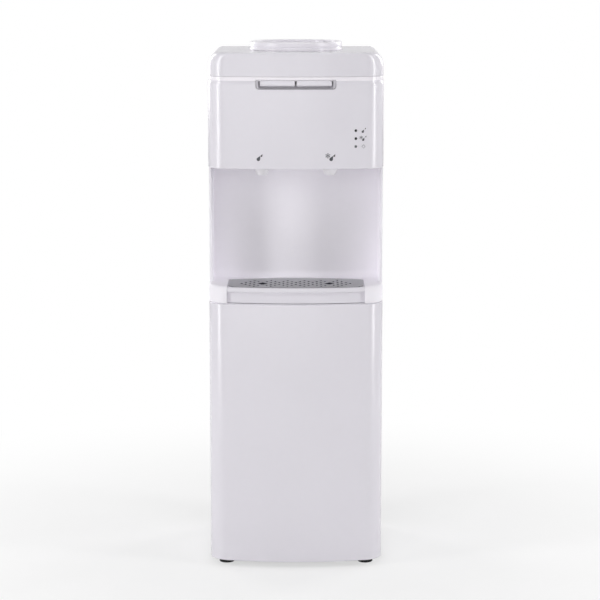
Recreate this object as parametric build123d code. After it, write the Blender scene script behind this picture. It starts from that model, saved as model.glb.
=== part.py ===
from build123d import *
import math
import os

# Free-standing water cooler with an open bottle collar on top, two tap keys in the head,
# a dispensing recess with a drip tray, and the cooling unit below and behind.
# Millimetres. X points right, Y back, Z up. The origin lies under the middle, on the floor.

# Cabinet
WIDTH = 320
DEPTH = 330
HEIGHT = 970
BOW_RADIUS = 570            # plan radius of the bowed front
CORNER_RADIUS = 40          # plan radius where the bow turns into the sides
PANEL_WALL = 2.5            # moulded panels
PANEL_FLANGE = 12           # turned-in edge of the moulded panels
SHEET = 1.0                 # painted sheet steel
SHEET_START = 79            # from the front to the front edge of the side sheets
SHEET_FLANGE = 14           # turned-in rear edge of the side sheets
GAP = 0.3                   # clearance between neighbouring pieces
SOFT_EDGE = 1.2             # rounding of moulded edges
RIB_DEPTH = 7               # upright ribs behind the panels
RIB_WIDTH = 1.6
RIB_PITCH = 70              # ribs beside the middle
HEAD_BEVEL = 3.5            # rounding of the head panel's top edge

# Stack of levels, from the top down
COLLAR_RISE = 16            # bottle collar above the cap
CAP_HEIGHT = 47
CAP_SEAM = 1.2              # shadow gap under the cap
HEAD_HEIGHT = 161
OPENING_HEIGHT = 215        # dispensing recess, shelf to head
BAND_HEIGHT = 32            # band that holds the drip tray
PANEL_SEAM = 1.8            # shadow gap over the lower panel
FOOT_HEIGHT = 12            # floor to the lower edge of the cabinet

# Cap
CAP_INSET = 0.8             # cap set in from the head panel
CAP_BEAD = 4.5              # height of the bead round the cap's lower edge
CAP_SHOULDER = 40           # radius of the cap's long side edges
CAP_SHOULDER_START = 17     # from the cap's lower edge to the start of that radius
CAP_TOP_EDGE = 3.5          # rounding round the top face

# Bottle seat: collar, funnel and probe, round one vertical axis
SEAT_SHARE = 5 / 11         # from the front to the axis of collar and cold tank, as a share of the depth
COLLAR_RADIUS = 86
COLLAR_BORE = 75            # inner radius that guides the bottle's shoulder
COLLAR_BORE_LENGTH = 20
COLLAR_LEAD = 2             # bevel that leads the bottle into the bore
COLLAR_GROOVE = 3.0         # depth of the shadow groove under the rolled lip
SEAT_WALL = 2.5
FUNNEL_DROP = 43            # height of the funnel's cone
SPIGOT_RADIUS = 20          # tube that leads into the cold tank
SPIGOT_LENGTH = 20
PROBE_RADIUS = 15
PROBE_HEIGHT = 34
PROBE_WALL = 2
PROBE_SLOT = 5
PROBE_LEDGE = 4             # flat ring in the funnel, beyond the spigot

# Dispensing recess
SPLASH_DEPTH = 133          # from the front to the back-splash
SPLASH_BLEND = 10           # rounding between back-splash and shelf
SPLASH_CORNER = 6           # rounding between back-splash and cheeks
SHOULDER_EDGE = 5           # rounding of the shoulders beside the tray
CHEEK_BEAD = 1.6            # bead that covers the front edge of the side sheet
POCKET_FLOOR_SET_BACK = 22  # pocket floor behind the tray's skirt

# Drip tray and grille
TRAY_HALF_WIDTH = 126
TRAY_BACK = 123             # from the front to the middle of the tray's bowed back edge
TRAY_BACK_RADIUS = 420
TRAY_WALL = 2
TRAY_LIP_HEIGHT = 9
TRAY_FACE_INSET = 1.6       # lower face of the tray set back under its lip
TRAY_DROP = 2               # tray rim below the shelf
TRAY_LIP_REACH = 40         # from the front to where the lip ends at the sides
GRILLE_THICKNESS = 3
GRILLE_CORNER = 22
GRILLE_RIM = 3              # grille behind the tray's front edge
SLOT_PITCH_X = 7.7
SLOT_PITCH_Y = 22.5
SLOT_WIDTH = 6
SLOT_LENGTH = 10.5
DRAIN_WIDTH = 20
DRAIN_LENGTH = 29
PATTERN_DEPTH = 54          # from the front to the middle of the slot pattern
# Rows of slots in each column, counted from the middle column outwards. The column that
# holds the large diamond under a nozzle has no small slots.
COLUMN_SLOTS = [2, 3, 4, 3, 2, 3, 4, 2, 0, 2, 4, 3, 2, 1]
SPREAD_COLUMNS = [7, 9]     # columns beside the diamond, whose two slots lie a full pitch out

# Tap keys
KEY_SLOT_HALF = 72.3        # half the length of the key frame
KEY_SLOT_HEIGHT = 17.4
KEY_FRAME_CORNER = 6
KEY_FRAME_END = 5           # frame wall at its two ends
KEY_FRAME_WALL = 1.4        # frame wall above and below the keys
KEY_FRAME_DEPTH = 26
KEY_CENTRE_GAP = 3
KEY_END_GAP = 2.4
KEY_HEIGHT = 10.5
KEY_BAR_DEPTH = 9
KEY_SET_BACK = 1.2          # key face behind the head panel's face
KEY_PIVOT_DEPTH = 21        # from the front to the hinge pins
KEY_PIVOT_BELOW_TOP = 6     # hinge pins below the head panel's top edge
PIN_RADIUS = 1.5
PIN_RUNNING = 0.05          # radial clearance of a key on its pin
HUB_RADIUS = 3.6
HUB_SIDES = 8
EAR_THICKNESS = 3
ARM_HEIGHT = 4
ARM_WIDTH = 6
FORK_HALF = 5.5
FORK_LENGTH = 8             # fork in front of the plunger axis
FORK_TIP = 2.5              # fork behind the plunger rod
FORK_CLEARANCE = 0.6        # fork's slot to the plunger rod
LIFT_GAP = 0.4              # fork to plunger head at rest

# Taps
TAP_SPACING = 124           # between the two tap axes
TAP_FROM_FRONT = 53
TAP_RADIUS = 13
TAP_BORE = 9
TAP_HEIGHT = 122
SEAT_LEVEL = 28             # valve seat above the head's floor
OUTLET_RADIUS = 5
PORT_LEVEL = 53             # inlet port above the head's floor
PORT_RADIUS = 6
PORT_LENGTH = 15
BONNET_HEIGHT = 6
BONNET_INSERT = 4
PLUNGER_ROD = 1.5
PLUNGER_HEAD = 4.5
VALVE_RADIUS = 7
VALVE_HEIGHT = 6
SPRING_TURNS = 4
SPRING_WIRE = 0.6
SPRING_RADIUS = 5
SPRING_LENGTH = 22
NOZZLE_TOP = 14
NOZZLE_TIP = 9
NOZZLE_HEIGHT = 15
NOZZLE_NECK = 10
NOZZLE_INSERT = 9           # neck inside the valve body
NOZZLE_RIM = 4              # straight rim at the top of the taper

# Indicator lights in the head panel
LIGHT_FROM_SIDE = 52
LIGHT_RADIUS = 2.75
LIGHT_PITCH = 14.3
LIGHT_LEVEL = 55            # middle light above the head's lower edge
LIGHT_LENGTH = 17
BOARD_WIDTH = 46
BOARD_HEIGHT = 70
BOARD_THICKNESS = 1.6
POST_RADIUS = 2.5
POST_INSET = 6
RELAY_SIZE = (16, 12, 20)   # parts on the board: width, depth, height
SOCKET_SIZE = (28, 8, 8)

# Tanks
COLD_SHARE = 12 / 55        # radius of the cold tank, as a share of the depth
TANK_BELOW_CONE = 16        # cold tank's top below the funnel's cone
TANK_WALL = 1.5
TANK_EDGE = 6               # bevel between wall and ends
COIL_RADIUS = 3             # refrigerant tube round the cold tank
COIL_TURNS = 4
COIL_PITCH = 21
INSULATION = 14
NECK_RADIUS = 25
NECK_RISE = 7
FOAM_LID = 6
HOT_RADIUS = 50
HOT_HEIGHT = 150
HOT_FROM_BACK = 85          # from the rearmost point to the hot tank's axis
HOT_DROP = 28               # hot tank's top below the tank shelf
HEATER_HEIGHT = 40
HEATER_RISE = 25            # heater above the tank's lower end
HEATER_THICKNESS = 2.5
TERMINAL_BLOCK = (12, 9)    # half width and depth of the heater's terminals
THERMOSTAT_RADIUS = 8
THERMOSTAT_DEPTH = 9
THERMOSTAT_DROP = 45        # upper disc below the tank's top
THERMOSTAT_PITCH = 28
THERMOSTAT_BLADES = (7, 4)  # length and half width of the terminals
BRACKET_SHEET = 1.5
BRACKET_HALF_WIDTH = 30
BRACKET_REACH = 20          # ledge in front of the hot tank's axis
BRACKET_DROP = 40           # height of the flange on the back panel
SHELF_RIM = 14
HOSE_RADIUS = 5
HOSE_BEND = 22
HOSE_LANE = 28              # hoses inside the side walls
HOLE_CLEARANCE = 2          # holes round hoses and pipes
OUTLET_PLACE = (-20, 25)    # hot outlet, from the hot tank's axis
FEED_PLACE = (18, 36)       # feed pipe, beside and in front of that axis

# Cooling unit
CONDENSER_SPACE = 18        # back panel to the rearmost wires
TUBE_RADIUS = 2.5
WIRE_RADIUS = 0.8
RUN_COUNT = 9
RUN_PITCH = 50
RUN_HALF = 105
WIRE_COUNT = 16             # on each side of the tube
WIRE_OVERHANG = 14
STRIP_RISE = 8              # brackets beyond the lowest and highest run
STRIP_FLANGE = 10
CONDENSER_BASE = 250
COMPRESSOR_RADIUS = 60
COMPRESSOR_HEIGHT = 150
COMPRESSOR_WALL = 9         # pot and motor, taken together
SEAM_SHARE = 0.55           # seam flange, as a share of the height
SEAM_FLANGE = 4
SEAM_HEIGHT = 6
POT_BOTTOM = [(14, 0), (4, 12), (0, 30)]  # inset and height of the bottom's profile
POT_DOME = [(0, 34), (8, 14), (26, 0)]    # inset and depth below the top
PIPE_LEVEL_SHARE = 0.63     # pipe stubs, as a share of the height
PLATE_THICKNESS = 2.5
PLATE_MARGIN = 10           # mounting plate beyond the mounting points
COMPRESSOR_FROM_BACK = 110
COMPRESSOR_FOOT_X = 72
COMPRESSOR_FOOT_Y = 48
GROMMET_RADIUS = 9
GROMMET_HEIGHT = 16
GROMMET_PIN = 4.5
START_RELAY_SIZE = (26, 36, 34)
START_RELAY_RISE = 40       # relay above the compressor's foot
START_RELAY_BEVEL = 4
PIPE_RADIUS = 3
PIPE_BEND = 16
CAPILLARY_RADIUS = 1.2
RISER_X = 124               # pipes beside the condenser: discharge right, liquid left
RISER_DEPTH = 24            # discharge riser inside the back panel
SUCTION_INSET = 12          # suction riser inside the left side sheet
LIQUID_LEVEL = 80
DRIER_RADIUS = 9
DRIER_BASE = 110
DRIER_LENGTH = 90
DRIER_TAPER = 12

# Base and back
BASE_SHEET = 1.5
BASE_RIM = 15
FOOT_RADIUS = 14
FOOT_PAD = 5                # height of the pad
FOOT_TAPER = 3
STUD_RISE = 8               # stud above the underside of the base plate
STUD_RADIUS = 4
FOOT_FROM_SIDE = 30
FOOT_FRONT = 53             # from the front to the front feet
FOOT_REAR = 48              # from the rearmost point to the rear feet
BACK_OPENING = 200          # open height behind the compressor
SWITCH_LEVEL = 50           # rocker switches below the head panel's top edge
SWITCH_PITCH = 34
SWITCH_HALF_WIDTH = 34
SWITCH_HALF_HEIGHT = 15
SWITCH_RIM = 3
ROCKER_HALF_WIDTH = 6
ROCKER_HALF_HEIGHT = 10
ROCKER_TILT = 10            # degrees to each side
ROCKER_GAP = 0.5            # rocker to its frame
ROCKER_PIN = 1.2
ROCKER_PIN_INSERT = 1       # pivot pin inside the frame at each end
DRAIN_LEVEL = 217
SPOUT_RADIUS = 8
SPOUT_INSERT = 12           # spout inside the back panel
SPOUT_LENGTH = 9            # spout outside it
SPOUT_FLANGE = 1.5
DRAIN_CAP_RADIUS = 12.5
DRAIN_CAP_REACH = 13.5      # outer face of the cap behind the back panel
GRIP_RIBS = 4
GRIP_RIB_WIDTH = 3
GLAND_RADIUS = 7
GLAND_X = -95
GLAND_BORE = 4

# Flat sides by which small and hidden turned pieces are drawn, and steps of a right-angled bend
COLLAR_SIDES = 24
PROBE_SIDES = 12
NOZZLE_SIDES = 12
TANK_SIDES = 12
FOOT_SIDES = 8
LIGHT_SIDES = 8
TAP_SIDES = 8
GROMMET_SIDES = 8
HOSE_SIDES = 6
BEND_STEPS = 2
BOW_CHORDS = 8              # bow of the hidden inner faces

# Places that follow from the sizes
FRONT = -DEPTH / 2
BACK = DEPTH / 2
HALF = WIDTH / 2
LIGHT_X = HALF - LIGHT_FROM_SIDE
FOOT_X = HALF - FOOT_FROM_SIDE
CAP_TOP = HEIGHT - COLLAR_RISE
CAP_BASE = CAP_TOP - CAP_HEIGHT
HEAD_TOP = CAP_BASE - CAP_SEAM
HEAD_BASE = HEAD_TOP - HEAD_HEIGHT
SHELF = HEAD_BASE - OPENING_HEIGHT
BAND_BASE = SHELF - BAND_HEIGHT
LOWER_TOP = BAND_BASE - PANEL_SEAM
CABINET_BACK = BACK - CONDENSER_SPACE
SHEET_FRONT = FRONT + SHEET_START
SPLASH = FRONT + SPLASH_DEPTH
LINER_HALF = HALF - SHEET - GAP
HEAD_FLOOR = HEAD_BASE + PANEL_WALL
TRAY_RIM = SHELF - TRAY_DROP
TRAY_FLOOR = BAND_BASE + PANEL_WALL + GAP
SEAT_Y = FRONT + DEPTH * SEAT_SHARE
TAP_Y = FRONT + TAP_FROM_FRONT
PIVOT_Y = FRONT + KEY_PIVOT_DEPTH
PIVOT_Z = HEAD_TOP - KEY_PIVOT_BELOW_TOP
BASE_LEVEL = FOOT_HEIGHT + PANEL_WALL + GAP
TANK_SHELF = HEAD_FLOOR + GAP
SHELF_TOP = TANK_SHELF + SHEET
HOT_Y = BACK - HOT_FROM_BACK
HOT_TOP = TANK_SHELF - HOT_DROP
INSULATION_BASE = SHELF_TOP + GAP
COLD_BASE = INSULATION_BASE + INSULATION + GAP
BORE_LOW = HEIGHT - COLLAR_LEAD - COLLAR_BORE_LENGTH
CONE_LOW = BORE_LOW - FUNNEL_DROP
COLD_TOP = CONE_LOW - TANK_BELOW_CONE
COLD_RADIUS = DEPTH * COLD_SHARE
COMPRESSOR_Y = BACK - COMPRESSOR_FROM_BACK
COMPRESSOR_BASE = BASE_LEVEL + BASE_SHEET + GROMMET_HEIGHT + 2 * GAP
TAP_BASE = HEAD_FLOOR + GAP
TAP_TOP = TAP_BASE + TAP_HEIGHT
PORT_Z = HEAD_BASE + PORT_LEVEL
CONDENSER_Y = BACK - 2 * WIRE_RADIUS - TUBE_RADIUS - GAP / 3


# ---------------------------------------------------------------- shared forms

def box(x0, x1, y0, y1, z0, z1):
    """Block between two corners."""
    return Pos(x0, y0, z0) * Box(x1 - x0, y1 - y0, z1 - z0, align=(Align.MIN,) * 3)


def slab(face, z0, z1):
    """A plan outline raised from one level to another."""
    return Pos(0, 0, z0) * extrude(face, z1 - z0, dir=(0, 0, 1))


def flat_sided(radius, sides):
    """Outline that stands in for a circle: its flats touch the circle and one of them faces +X."""
    return RegularPolygon(radius, sides, major_radius=False, rotation=180 / sides)


def rod(radius, start, end, sides=None):
    """Straight bar between two points, round or flat-sided."""
    run = Vector(*end) - Vector(*start)
    section = flat_sided(radius, sides) if sides else Circle(radius)
    return extrude(Plane(origin=start, z_dir=run) * section, run.length)


def turned(points, sides, x=0, y=0):
    """Body about an upright axis through rising (radius, level) points, drawn with flat sides."""
    body = Part()
    for (lower, z0), (upper, z1) in zip(points, points[1:]):
        if z1 > z0:
            taper = math.degrees(math.atan2(abs(lower - upper), z1 - z0))
            stage = extrude(flat_sided(max(lower, upper), sides), z1 - z0, taper=taper)
            body += Pos(x, y, z0) * stage if lower >= upper else Pos(x, y, z1) * Rot(180, 0, 0) * stage
    return body


def bent_tube(points, radius, bend, sides):
    """Pipe or hose along a line of points; each right-angled bend is drawn in a few straight steps."""
    stops = [Vector(*points[0])]
    for before, corner, after in zip(points, points[1:], points[2:]):
        come = (Vector(*corner) - Vector(*before)).normalized() * bend
        leave = (Vector(*after) - Vector(*corner)).normalized() * bend
        for step in range(BEND_STEPS + 1):
            angle = math.pi / 2 * step / BEND_STEPS
            stop = Vector(*corner) - come * (1 - math.sin(angle)) + leave * (1 - math.cos(angle))
            if (stop - stops[-1]).length > GAP:
                stops.append(stop)
    path = Polyline(*stops, Vector(*points[-1]))
    section = Plane(origin=path @ 0, z_dir=path % 0) * RegularPolygon(radius, sides)
    return sweep(section, path=path, transition=Transition.RIGHT)


def winding(radius, height, turns, sides, section):
    """Wire or tube wound upwards round the Z axis, each turn drawn with straight sides."""
    count = turns * sides
    corner = radius / math.cos(math.pi / sides)
    stops = []
    for step in range(count + 1):
        angle = 2 * math.pi * (step + 0.5) / sides
        stops.append((corner * math.cos(angle), corner * math.sin(angle), height * step / count))
    path = Polyline(*stops)
    start = Plane(origin=path @ 0, z_dir=path % 0)
    return sweep(start * section, path=path, transition=Transition.RIGHT)


def front_plan(inset, y_back):
    """Bowed front outline with rounded corners, moved in by inset and cut straight at y_back."""
    half = HALF - inset
    radius = BOW_RADIUS - inset
    centre = FRONT + BOW_RADIUS
    y_side = centre - math.sqrt(radius**2 - half**2)
    bow = ThreePointArc((-half, y_side), (0, centre - radius), (half, y_side))
    rest = Polyline((half, y_side), (half, y_back), (-half, y_back), (-half, y_side))
    face = make_face(bow.edges() + rest.edges())
    return fillet(face.vertices().sort_by(Axis.Y)[:2], CORNER_RADIUS - inset)


def inner_plan(inset, y_back):
    """The front outline for hidden edges, with its curves drawn as straight chords."""
    half = HALF - inset
    corner = CORNER_RADIUS - inset
    x_centre = HALF - CORNER_RADIUS
    centre = FRONT + BOW_RADIUS
    reach = BOW_RADIUS - CORNER_RADIUS
    turn = math.asin(x_centre / reach)
    y_centre = centre - reach * math.cos(turn)
    stops = [(half, y_back), (half, y_centre)]
    middle = (math.pi / 2 + turn) / 2
    stops.append((x_centre + corner * math.sin(middle), y_centre - corner * math.cos(middle)))
    for step in range(BOW_CHORDS + 1):
        x = (BOW_RADIUS - inset) * math.sin(turn) * (1 - 2 * step / BOW_CHORDS)
        stops.append((x, centre - math.sqrt((BOW_RADIUS - inset) ** 2 - x**2)))
    stops += [(-x, y) for x, y in reversed(stops[:3])]
    return make_face(Polyline(*stops, close=True))


def bow_line(x, inset=0):
    """Y of the bowed front at a place across the width."""
    return FRONT + BOW_RADIUS - math.sqrt((BOW_RADIUS - inset) ** 2 - x**2)


def tray_plan(inset, front_inset, corner):
    """Outline of the drip tray: bowed front, straight sides, back edge bowed the other way."""
    half = TRAY_HALF_WIDTH - inset
    back = FRONT + TRAY_BACK - inset
    back_radius = TRAY_BACK_RADIUS - inset
    y_back = back - back_radius + math.sqrt(back_radius**2 - half**2)
    y_front = bow_line(half, front_inset)
    front = ThreePointArc((-half, y_front), (0, FRONT + front_inset), (half, y_front))
    rear = ThreePointArc((half, y_back), (0, back), (-half, y_back))
    sides = [Line((half, y_front), (half, y_back)), Line((-half, y_back), (-half, y_front))]
    face = make_face([*front.edges(), *rear.edges(), *sides])
    if corner:
        face = fillet(face.vertices().sort_by(Axis.Y)[:2], corner)
    return face


def bevel(solid, level, y_back, size):
    """Bevel the edges of a moulded outline that lie at one level, but not its straight back edge."""
    edges = solid.edges().filter_by_position(Axis.Z, level - 0.01, level + 0.01)
    return chamfer(edges.filter_by(lambda edge: edge.center().Y < y_back - 1), size)


# ---------------------------------------------------------------- cabinet

def base_plate():
    """Pressed steel floor with turned-up sides; the compressor and the feet are fixed to it."""
    y_front = SHEET_FRONT + GAP
    y_back = CABINET_BACK - 2 * SHEET - GAP
    top = BASE_LEVEL + BASE_SHEET
    plate = slab(inner_plan(PANEL_WALL + 2 * GAP, y_front), BASE_LEVEL, top)
    plate += box(-LINER_HALF, LINER_HALF, y_front, y_back, BASE_LEVEL, top)
    for side in (-1, 1):
        x0, x1 = sorted((side * LINER_HALF, side * (LINER_HALF - BASE_SHEET)))
        plate += box(x0, x1, y_front, y_back, BASE_LEVEL, BASE_LEVEL + BASE_RIM)
    for x, y in foot_places():
        plate -= rod(STUD_RADIUS + GAP, (x, y, BASE_LEVEL - 1), (x, y, top + 1), FOOT_SIDES)
    return plate


def foot_places():
    """The four feet, two near the front corners and two near the back."""
    return [(x, y) for y in (FRONT + FOOT_FRONT, BACK - FOOT_REAR) for x in (-FOOT_X, FOOT_X)]


def feet():
    """Levelling feet: eight-sided pad for the fingers, tapered neck and a stud through the base plate."""
    outline = [(FOOT_RADIUS, 0), (FOOT_RADIUS, FOOT_PAD), (FOOT_RADIUS - FOOT_TAPER, BASE_LEVEL),
               (STUD_RADIUS, BASE_LEVEL), (STUD_RADIUS, BASE_LEVEL + STUD_RISE)]
    return Compound([turned(outline, FOOT_SIDES, x, y).solid() for x, y in foot_places()])


def side_panel(side):
    """Painted side sheet with its rear edge turned in for the back panel."""
    x0, x1 = sorted((side * HALF, side * (HALF - SHEET)))
    panel = box(x0, x1, SHEET_FRONT, CABINET_BACK - SHEET, FOOT_HEIGHT, HEAD_TOP)
    x0, x1 = sorted((side * HALF, side * (HALF - SHEET_FLANGE)))
    y_flange = CABINET_BACK - 2 * SHEET
    return panel + box(x0, x1, y_flange, y_flange + SHEET, FOOT_HEIGHT, HEAD_TOP)


def lower_front_panel():
    """Large plain moulding under the tray, with flanged edges and stiffening ribs behind."""
    y_back = SHEET_FRONT - GAP
    panel = slab(front_plan(0, y_back), FOOT_HEIGHT, LOWER_TOP)
    panel = bevel(panel, LOWER_TOP, y_back, SOFT_EDGE)
    panel = bevel(panel, FOOT_HEIGHT, y_back, SOFT_EDGE)
    low, high = FOOT_HEIGHT + PANEL_WALL, LOWER_TOP - PANEL_WALL
    panel -= slab(inner_plan(PANEL_WALL, y_back + 1), low, high)
    panel -= slab(inner_plan(PANEL_FLANGE, y_back + 1), FOOT_HEIGHT - 1, LOWER_TOP + 1)
    return panel + panel_ribs((-RIB_PITCH, 0, RIB_PITCH), BASE_LEVEL + BASE_SHEET + GAP, high)


def panel_ribs(places, low, high):
    """Upright ribs on the back of a bowed panel."""
    ribs = Part()
    for x in places:
        y = bow_line(abs(x), PANEL_WALL)
        ribs += box(x - RIB_WIDTH / 2, x + RIB_WIDTH / 2, y - 1, y + RIB_DEPTH, low, high)
    return ribs


def dispensing_recess():
    """One moulding: back-splash, cheeks, shelf with bevelled shoulders and the tray's pocket."""
    y_band = SHEET_FRONT - GAP
    y_back = SPLASH + PANEL_WALL
    body = bevel(slab(front_plan(0, y_band), BAND_BASE, SHELF), SHELF, y_band, SHOULDER_EDGE)
    body += box(-LINER_HALF, LINER_HALF, y_band, y_back, BAND_BASE, HEAD_FLOOR)
    body += box(-HALF, HALF, y_band - CHEEK_BEAD, y_band, SHELF - 1, HEAD_BASE - GAP)
    body -= recess_space()
    cheek = LINER_HALF - PANEL_WALL
    ceiling = SHELF - PANEL_WALL
    under = slab(inner_plan(PANEL_WALL, y_band), BAND_BASE - 1, ceiling)
    under = bevel(under, ceiling, y_band, SHOULDER_EDGE)
    under += box(-cheek, cheek, y_band - PANEL_WALL, y_back + 1, BAND_BASE - 1, ceiling)
    body -= under
    return body + tray_pocket_walls() - tray_pocket_space()


def recess_space():
    """Room for cups: rounded rear corners in plan, rounded foot of the back-splash in side view."""
    cheek = LINER_HALF - PANEL_WALL
    room = box(-cheek, cheek, FRONT - 1, SPLASH, SHELF, HEIGHT)
    plan = fillet(room.edges().filter_by(Axis.Z).sort_by(Axis.Y)[-2:], SPLASH_CORNER)
    foot = room.edges().filter_by(Axis.X).sort_by(Axis.Z)[:2].sort_by(Axis.Y)[-1]
    return plan & fillet(foot, SPLASH_BLEND)


def tray_pocket_walls():
    """Walls and floor that carry the tray, hung under the shelf."""
    walls = slab(tray_plan(-GAP - PANEL_WALL, PANEL_WALL, 0), BAND_BASE, SHELF)
    return walls - box(-HALF, HALF, FRONT - 1, FRONT + POCKET_FLOOR_SET_BACK, 0, TRAY_FLOOR - GAP)


def tray_pocket_space():
    """Room for the tray, open to the front and above."""
    half = TRAY_HALF_WIDTH + GAP
    space = slab(tray_plan(-GAP, -1, 0), TRAY_FLOOR - GAP, SHELF + 1)
    return space + box(-half, half, FRONT - 1, FRONT + POCKET_FLOOR_SET_BACK, BAND_BASE - 1, SHELF + 1)


def upper_front_panel():
    """Head cover: bowed face, floor with the nozzle holes, notch for the keys, light holes."""
    y_back = SHEET_FRONT - GAP
    panel = slab(front_plan(0, y_back), HEAD_BASE, HEAD_TOP)
    panel = bevel(panel, HEAD_TOP, y_back, HEAD_BEVEL)
    panel = bevel(panel, HEAD_BASE, y_back, SOFT_EDGE)
    panel -= slab(inner_plan(PANEL_WALL, y_back + 1), HEAD_FLOOR, HEAD_TOP - PANEL_WALL)
    panel -= slab(inner_plan(PANEL_FLANGE, y_back + 1), HEAD_FLOOR, HEAD_TOP + 1)
    half = LINER_HALF - PANEL_WALL - GAP
    floor = box(-half, half, y_back - 1, SPLASH - GAP, HEAD_BASE, HEAD_FLOOR)
    panel += fillet(floor.edges().filter_by(Axis.Z).sort_by(Axis.Y)[-2:], SPLASH_CORNER)
    for side in (-1, 1):
        x = tap_axis(side)
        low, high = HEAD_BASE - 1, HEAD_FLOOR + 1
        panel -= rod(NOZZLE_NECK + GAP, (x, TAP_Y, low), (x, TAP_Y, high), NOZZLE_SIDES)
    for z in light_levels():
        start, end = (LIGHT_X, FRONT - 1, z), (LIGHT_X, FRONT + LIGHT_LENGTH, z)
        panel -= rod(LIGHT_RADIUS + GAP / 2, start, end, LIGHT_SIDES)
    rib_top = HEAD_TOP - KEY_SLOT_HEIGHT - 2 * PANEL_WALL
    panel += panel_ribs((-RIB_PITCH, RIB_PITCH), HEAD_FLOOR, rib_top)
    return panel - key_notch(GAP)


def key_notch(clearance):
    """Rounded rectangle seen from the front, open upwards, in which the key frame sits."""
    low = HEAD_TOP - KEY_SLOT_HEIGHT - clearance
    high = HEAD_TOP + 3 * KEY_FRAME_CORNER
    half = KEY_SLOT_HALF + clearance
    shape = box(-half, half, FRONT - 2, FRONT + KEY_FRAME_DEPTH + 4, low, high)
    return fillet(shape.edges().filter_by(Axis.Y).sort_by(Axis.Z)[:2], KEY_FRAME_CORNER)


def light_levels():
    """Levels of the three indicator lights."""
    middle = HEAD_BASE + LIGHT_LEVEL
    return [middle - LIGHT_PITCH, middle, middle + LIGHT_PITCH]


# ---------------------------------------------------------------- cap and bottle seat

def cap_form(inset, plan, curve):
    """Cap moved in by inset: plan outline meeting a front view whose shoulders follow the curve."""
    side = HALF - CAP_INSET - inset
    top = CAP_TOP - inset
    start = CAP_BASE + CAP_SHOULDER_START
    radius = CAP_SHOULDER - inset
    turn = math.asin((top - start) / radius)
    middle = (side - radius + radius * math.cos(turn / 2), start + radius * math.sin(turn / 2))
    edge = side - radius + radius * math.cos(turn)
    low = CAP_BASE - 1
    right = curve((side, start), middle, (edge, top))
    left = curve((-edge, top), (-middle[0], middle[1]), (-side, start))
    lines = [Line((edge, top), (-edge, top)),
             Polyline((-side, start), (-side, low), (side, low), (side, start))]
    outline = make_face([*right.edges(), *left.edges(), *lines[0].edges(), *lines[1].edges()])
    view = Pos(0, FRONT - 1, 0) * extrude(Plane.XZ * outline, DEPTH + 2, dir=(0, 1, 0))
    return view & slab(plan(CAP_INSET + inset, CABINET_BACK - CAP_INSET - inset), CAP_BASE, top)


def top_cap():
    """Moulded cap with a bead round its lower edge and a round hole for the bottle seat."""
    cap = cap_form(0, front_plan, ThreePointArc)
    cap = chamfer(cap.faces().sort_by(Axis.Z)[-1].edges(), CAP_TOP_EDGE)
    bead = slab(front_plan(0, CABINET_BACK), CAP_BASE, CAP_BASE + CAP_BEAD)
    cap += bevel(bead, CAP_BASE + CAP_BEAD, HEIGHT, CAP_INSET * 0.7)
    cap -= cap_form(PANEL_WALL, inner_plan, Polyline)
    wide = COLLAR_BORE + SEAT_WALL + 2 * GAP
    return cap - rod(wide, (0, SEAT_Y, CAP_BASE), (0, SEAT_Y, HEIGHT), COLLAR_SIDES)


def bottle_seat():
    """Moulding that lifts out: rolled collar, guide bore, funnel and spigot."""
    base = CAP_TOP + GAP
    outer = COLLAR_BORE + SEAT_WALL
    spigot_low = CONE_LOW - SPIGOT_LENGTH
    inner = SPIGOT_RADIUS - SEAT_WALL
    ledge = SPIGOT_RADIUS + PROBE_LEDGE
    waist = COLLAR_RADIUS - COLLAR_GROOVE
    collar = [(COLLAR_RADIUS, base), (COLLAR_RADIUS, base + 2.4), (waist, base + 4.6),
              (waist, base + 6.4), (COLLAR_RADIUS - 0.6, base + 9), (COLLAR_RADIUS - 1.4, base + 13),
              (COLLAR_RADIUS - 4, HEIGHT)]
    funnel = [(SPIGOT_RADIUS, spigot_low), (SPIGOT_RADIUS, CONE_LOW), (ledge, CONE_LOW), (outer, BORE_LOW),
              (outer, base)]
    hollow = [(inner, spigot_low), (inner, CONE_LOW + SEAT_WALL), (ledge, CONE_LOW + SEAT_WALL),
              (COLLAR_BORE - 2 * GAP, BORE_LOW)]
    lead = [(COLLAR_BORE, HEIGHT - COLLAR_LEAD), (COLLAR_BORE + COLLAR_LEAD, HEIGHT)]
    body = turned(collar, COLLAR_SIDES, 0, SEAT_Y) + turned(funnel, COLLAR_SIDES, 0, SEAT_Y)
    body -= turned(hollow, COLLAR_SIDES, 0, SEAT_Y) + turned(lead, COLLAR_SIDES, 0, SEAT_Y)
    return body - rod(COLLAR_BORE, (0, SEAT_Y, BORE_LOW), (0, SEAT_Y, HEIGHT - COLLAR_LEAD))


def bottle_probe():
    """Hollow probe that opens the bottle's stopper, with four water slots."""
    low = probe_level()
    tip = low + PROBE_HEIGHT
    inner = PROBE_RADIUS - PROBE_WALL
    flange = SPIGOT_RADIUS + PROBE_WALL
    outline = [(flange, low), (flange, low + PROBE_WALL), (PROBE_RADIUS, low + PROBE_WALL),
               (PROBE_RADIUS - 1, tip - 4), (PROBE_RADIUS - 5, tip)]
    hollow = [(inner, low), (inner - 1, tip - 5), (PROBE_RADIUS - 6, tip - PROBE_WALL)]
    probe = turned(outline, PROBE_SIDES, 0, SEAT_Y) - turned(hollow, PROBE_SIDES, 0, SEAT_Y)
    slot = Box(3 * PROBE_RADIUS, PROBE_SLOT, PROBE_HEIGHT / 2)
    for angle in (0, 90):
        probe -= Pos(0, SEAT_Y, low + PROBE_HEIGHT / 3 + 2) * Rot(0, 0, angle) * slot
    return probe


def probe_level():
    """Level at which the probe's flange rests on the funnel."""
    return CONE_LOW + SEAT_WALL + GAP / 3


# ---------------------------------------------------------------- drip tray and grille

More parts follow.
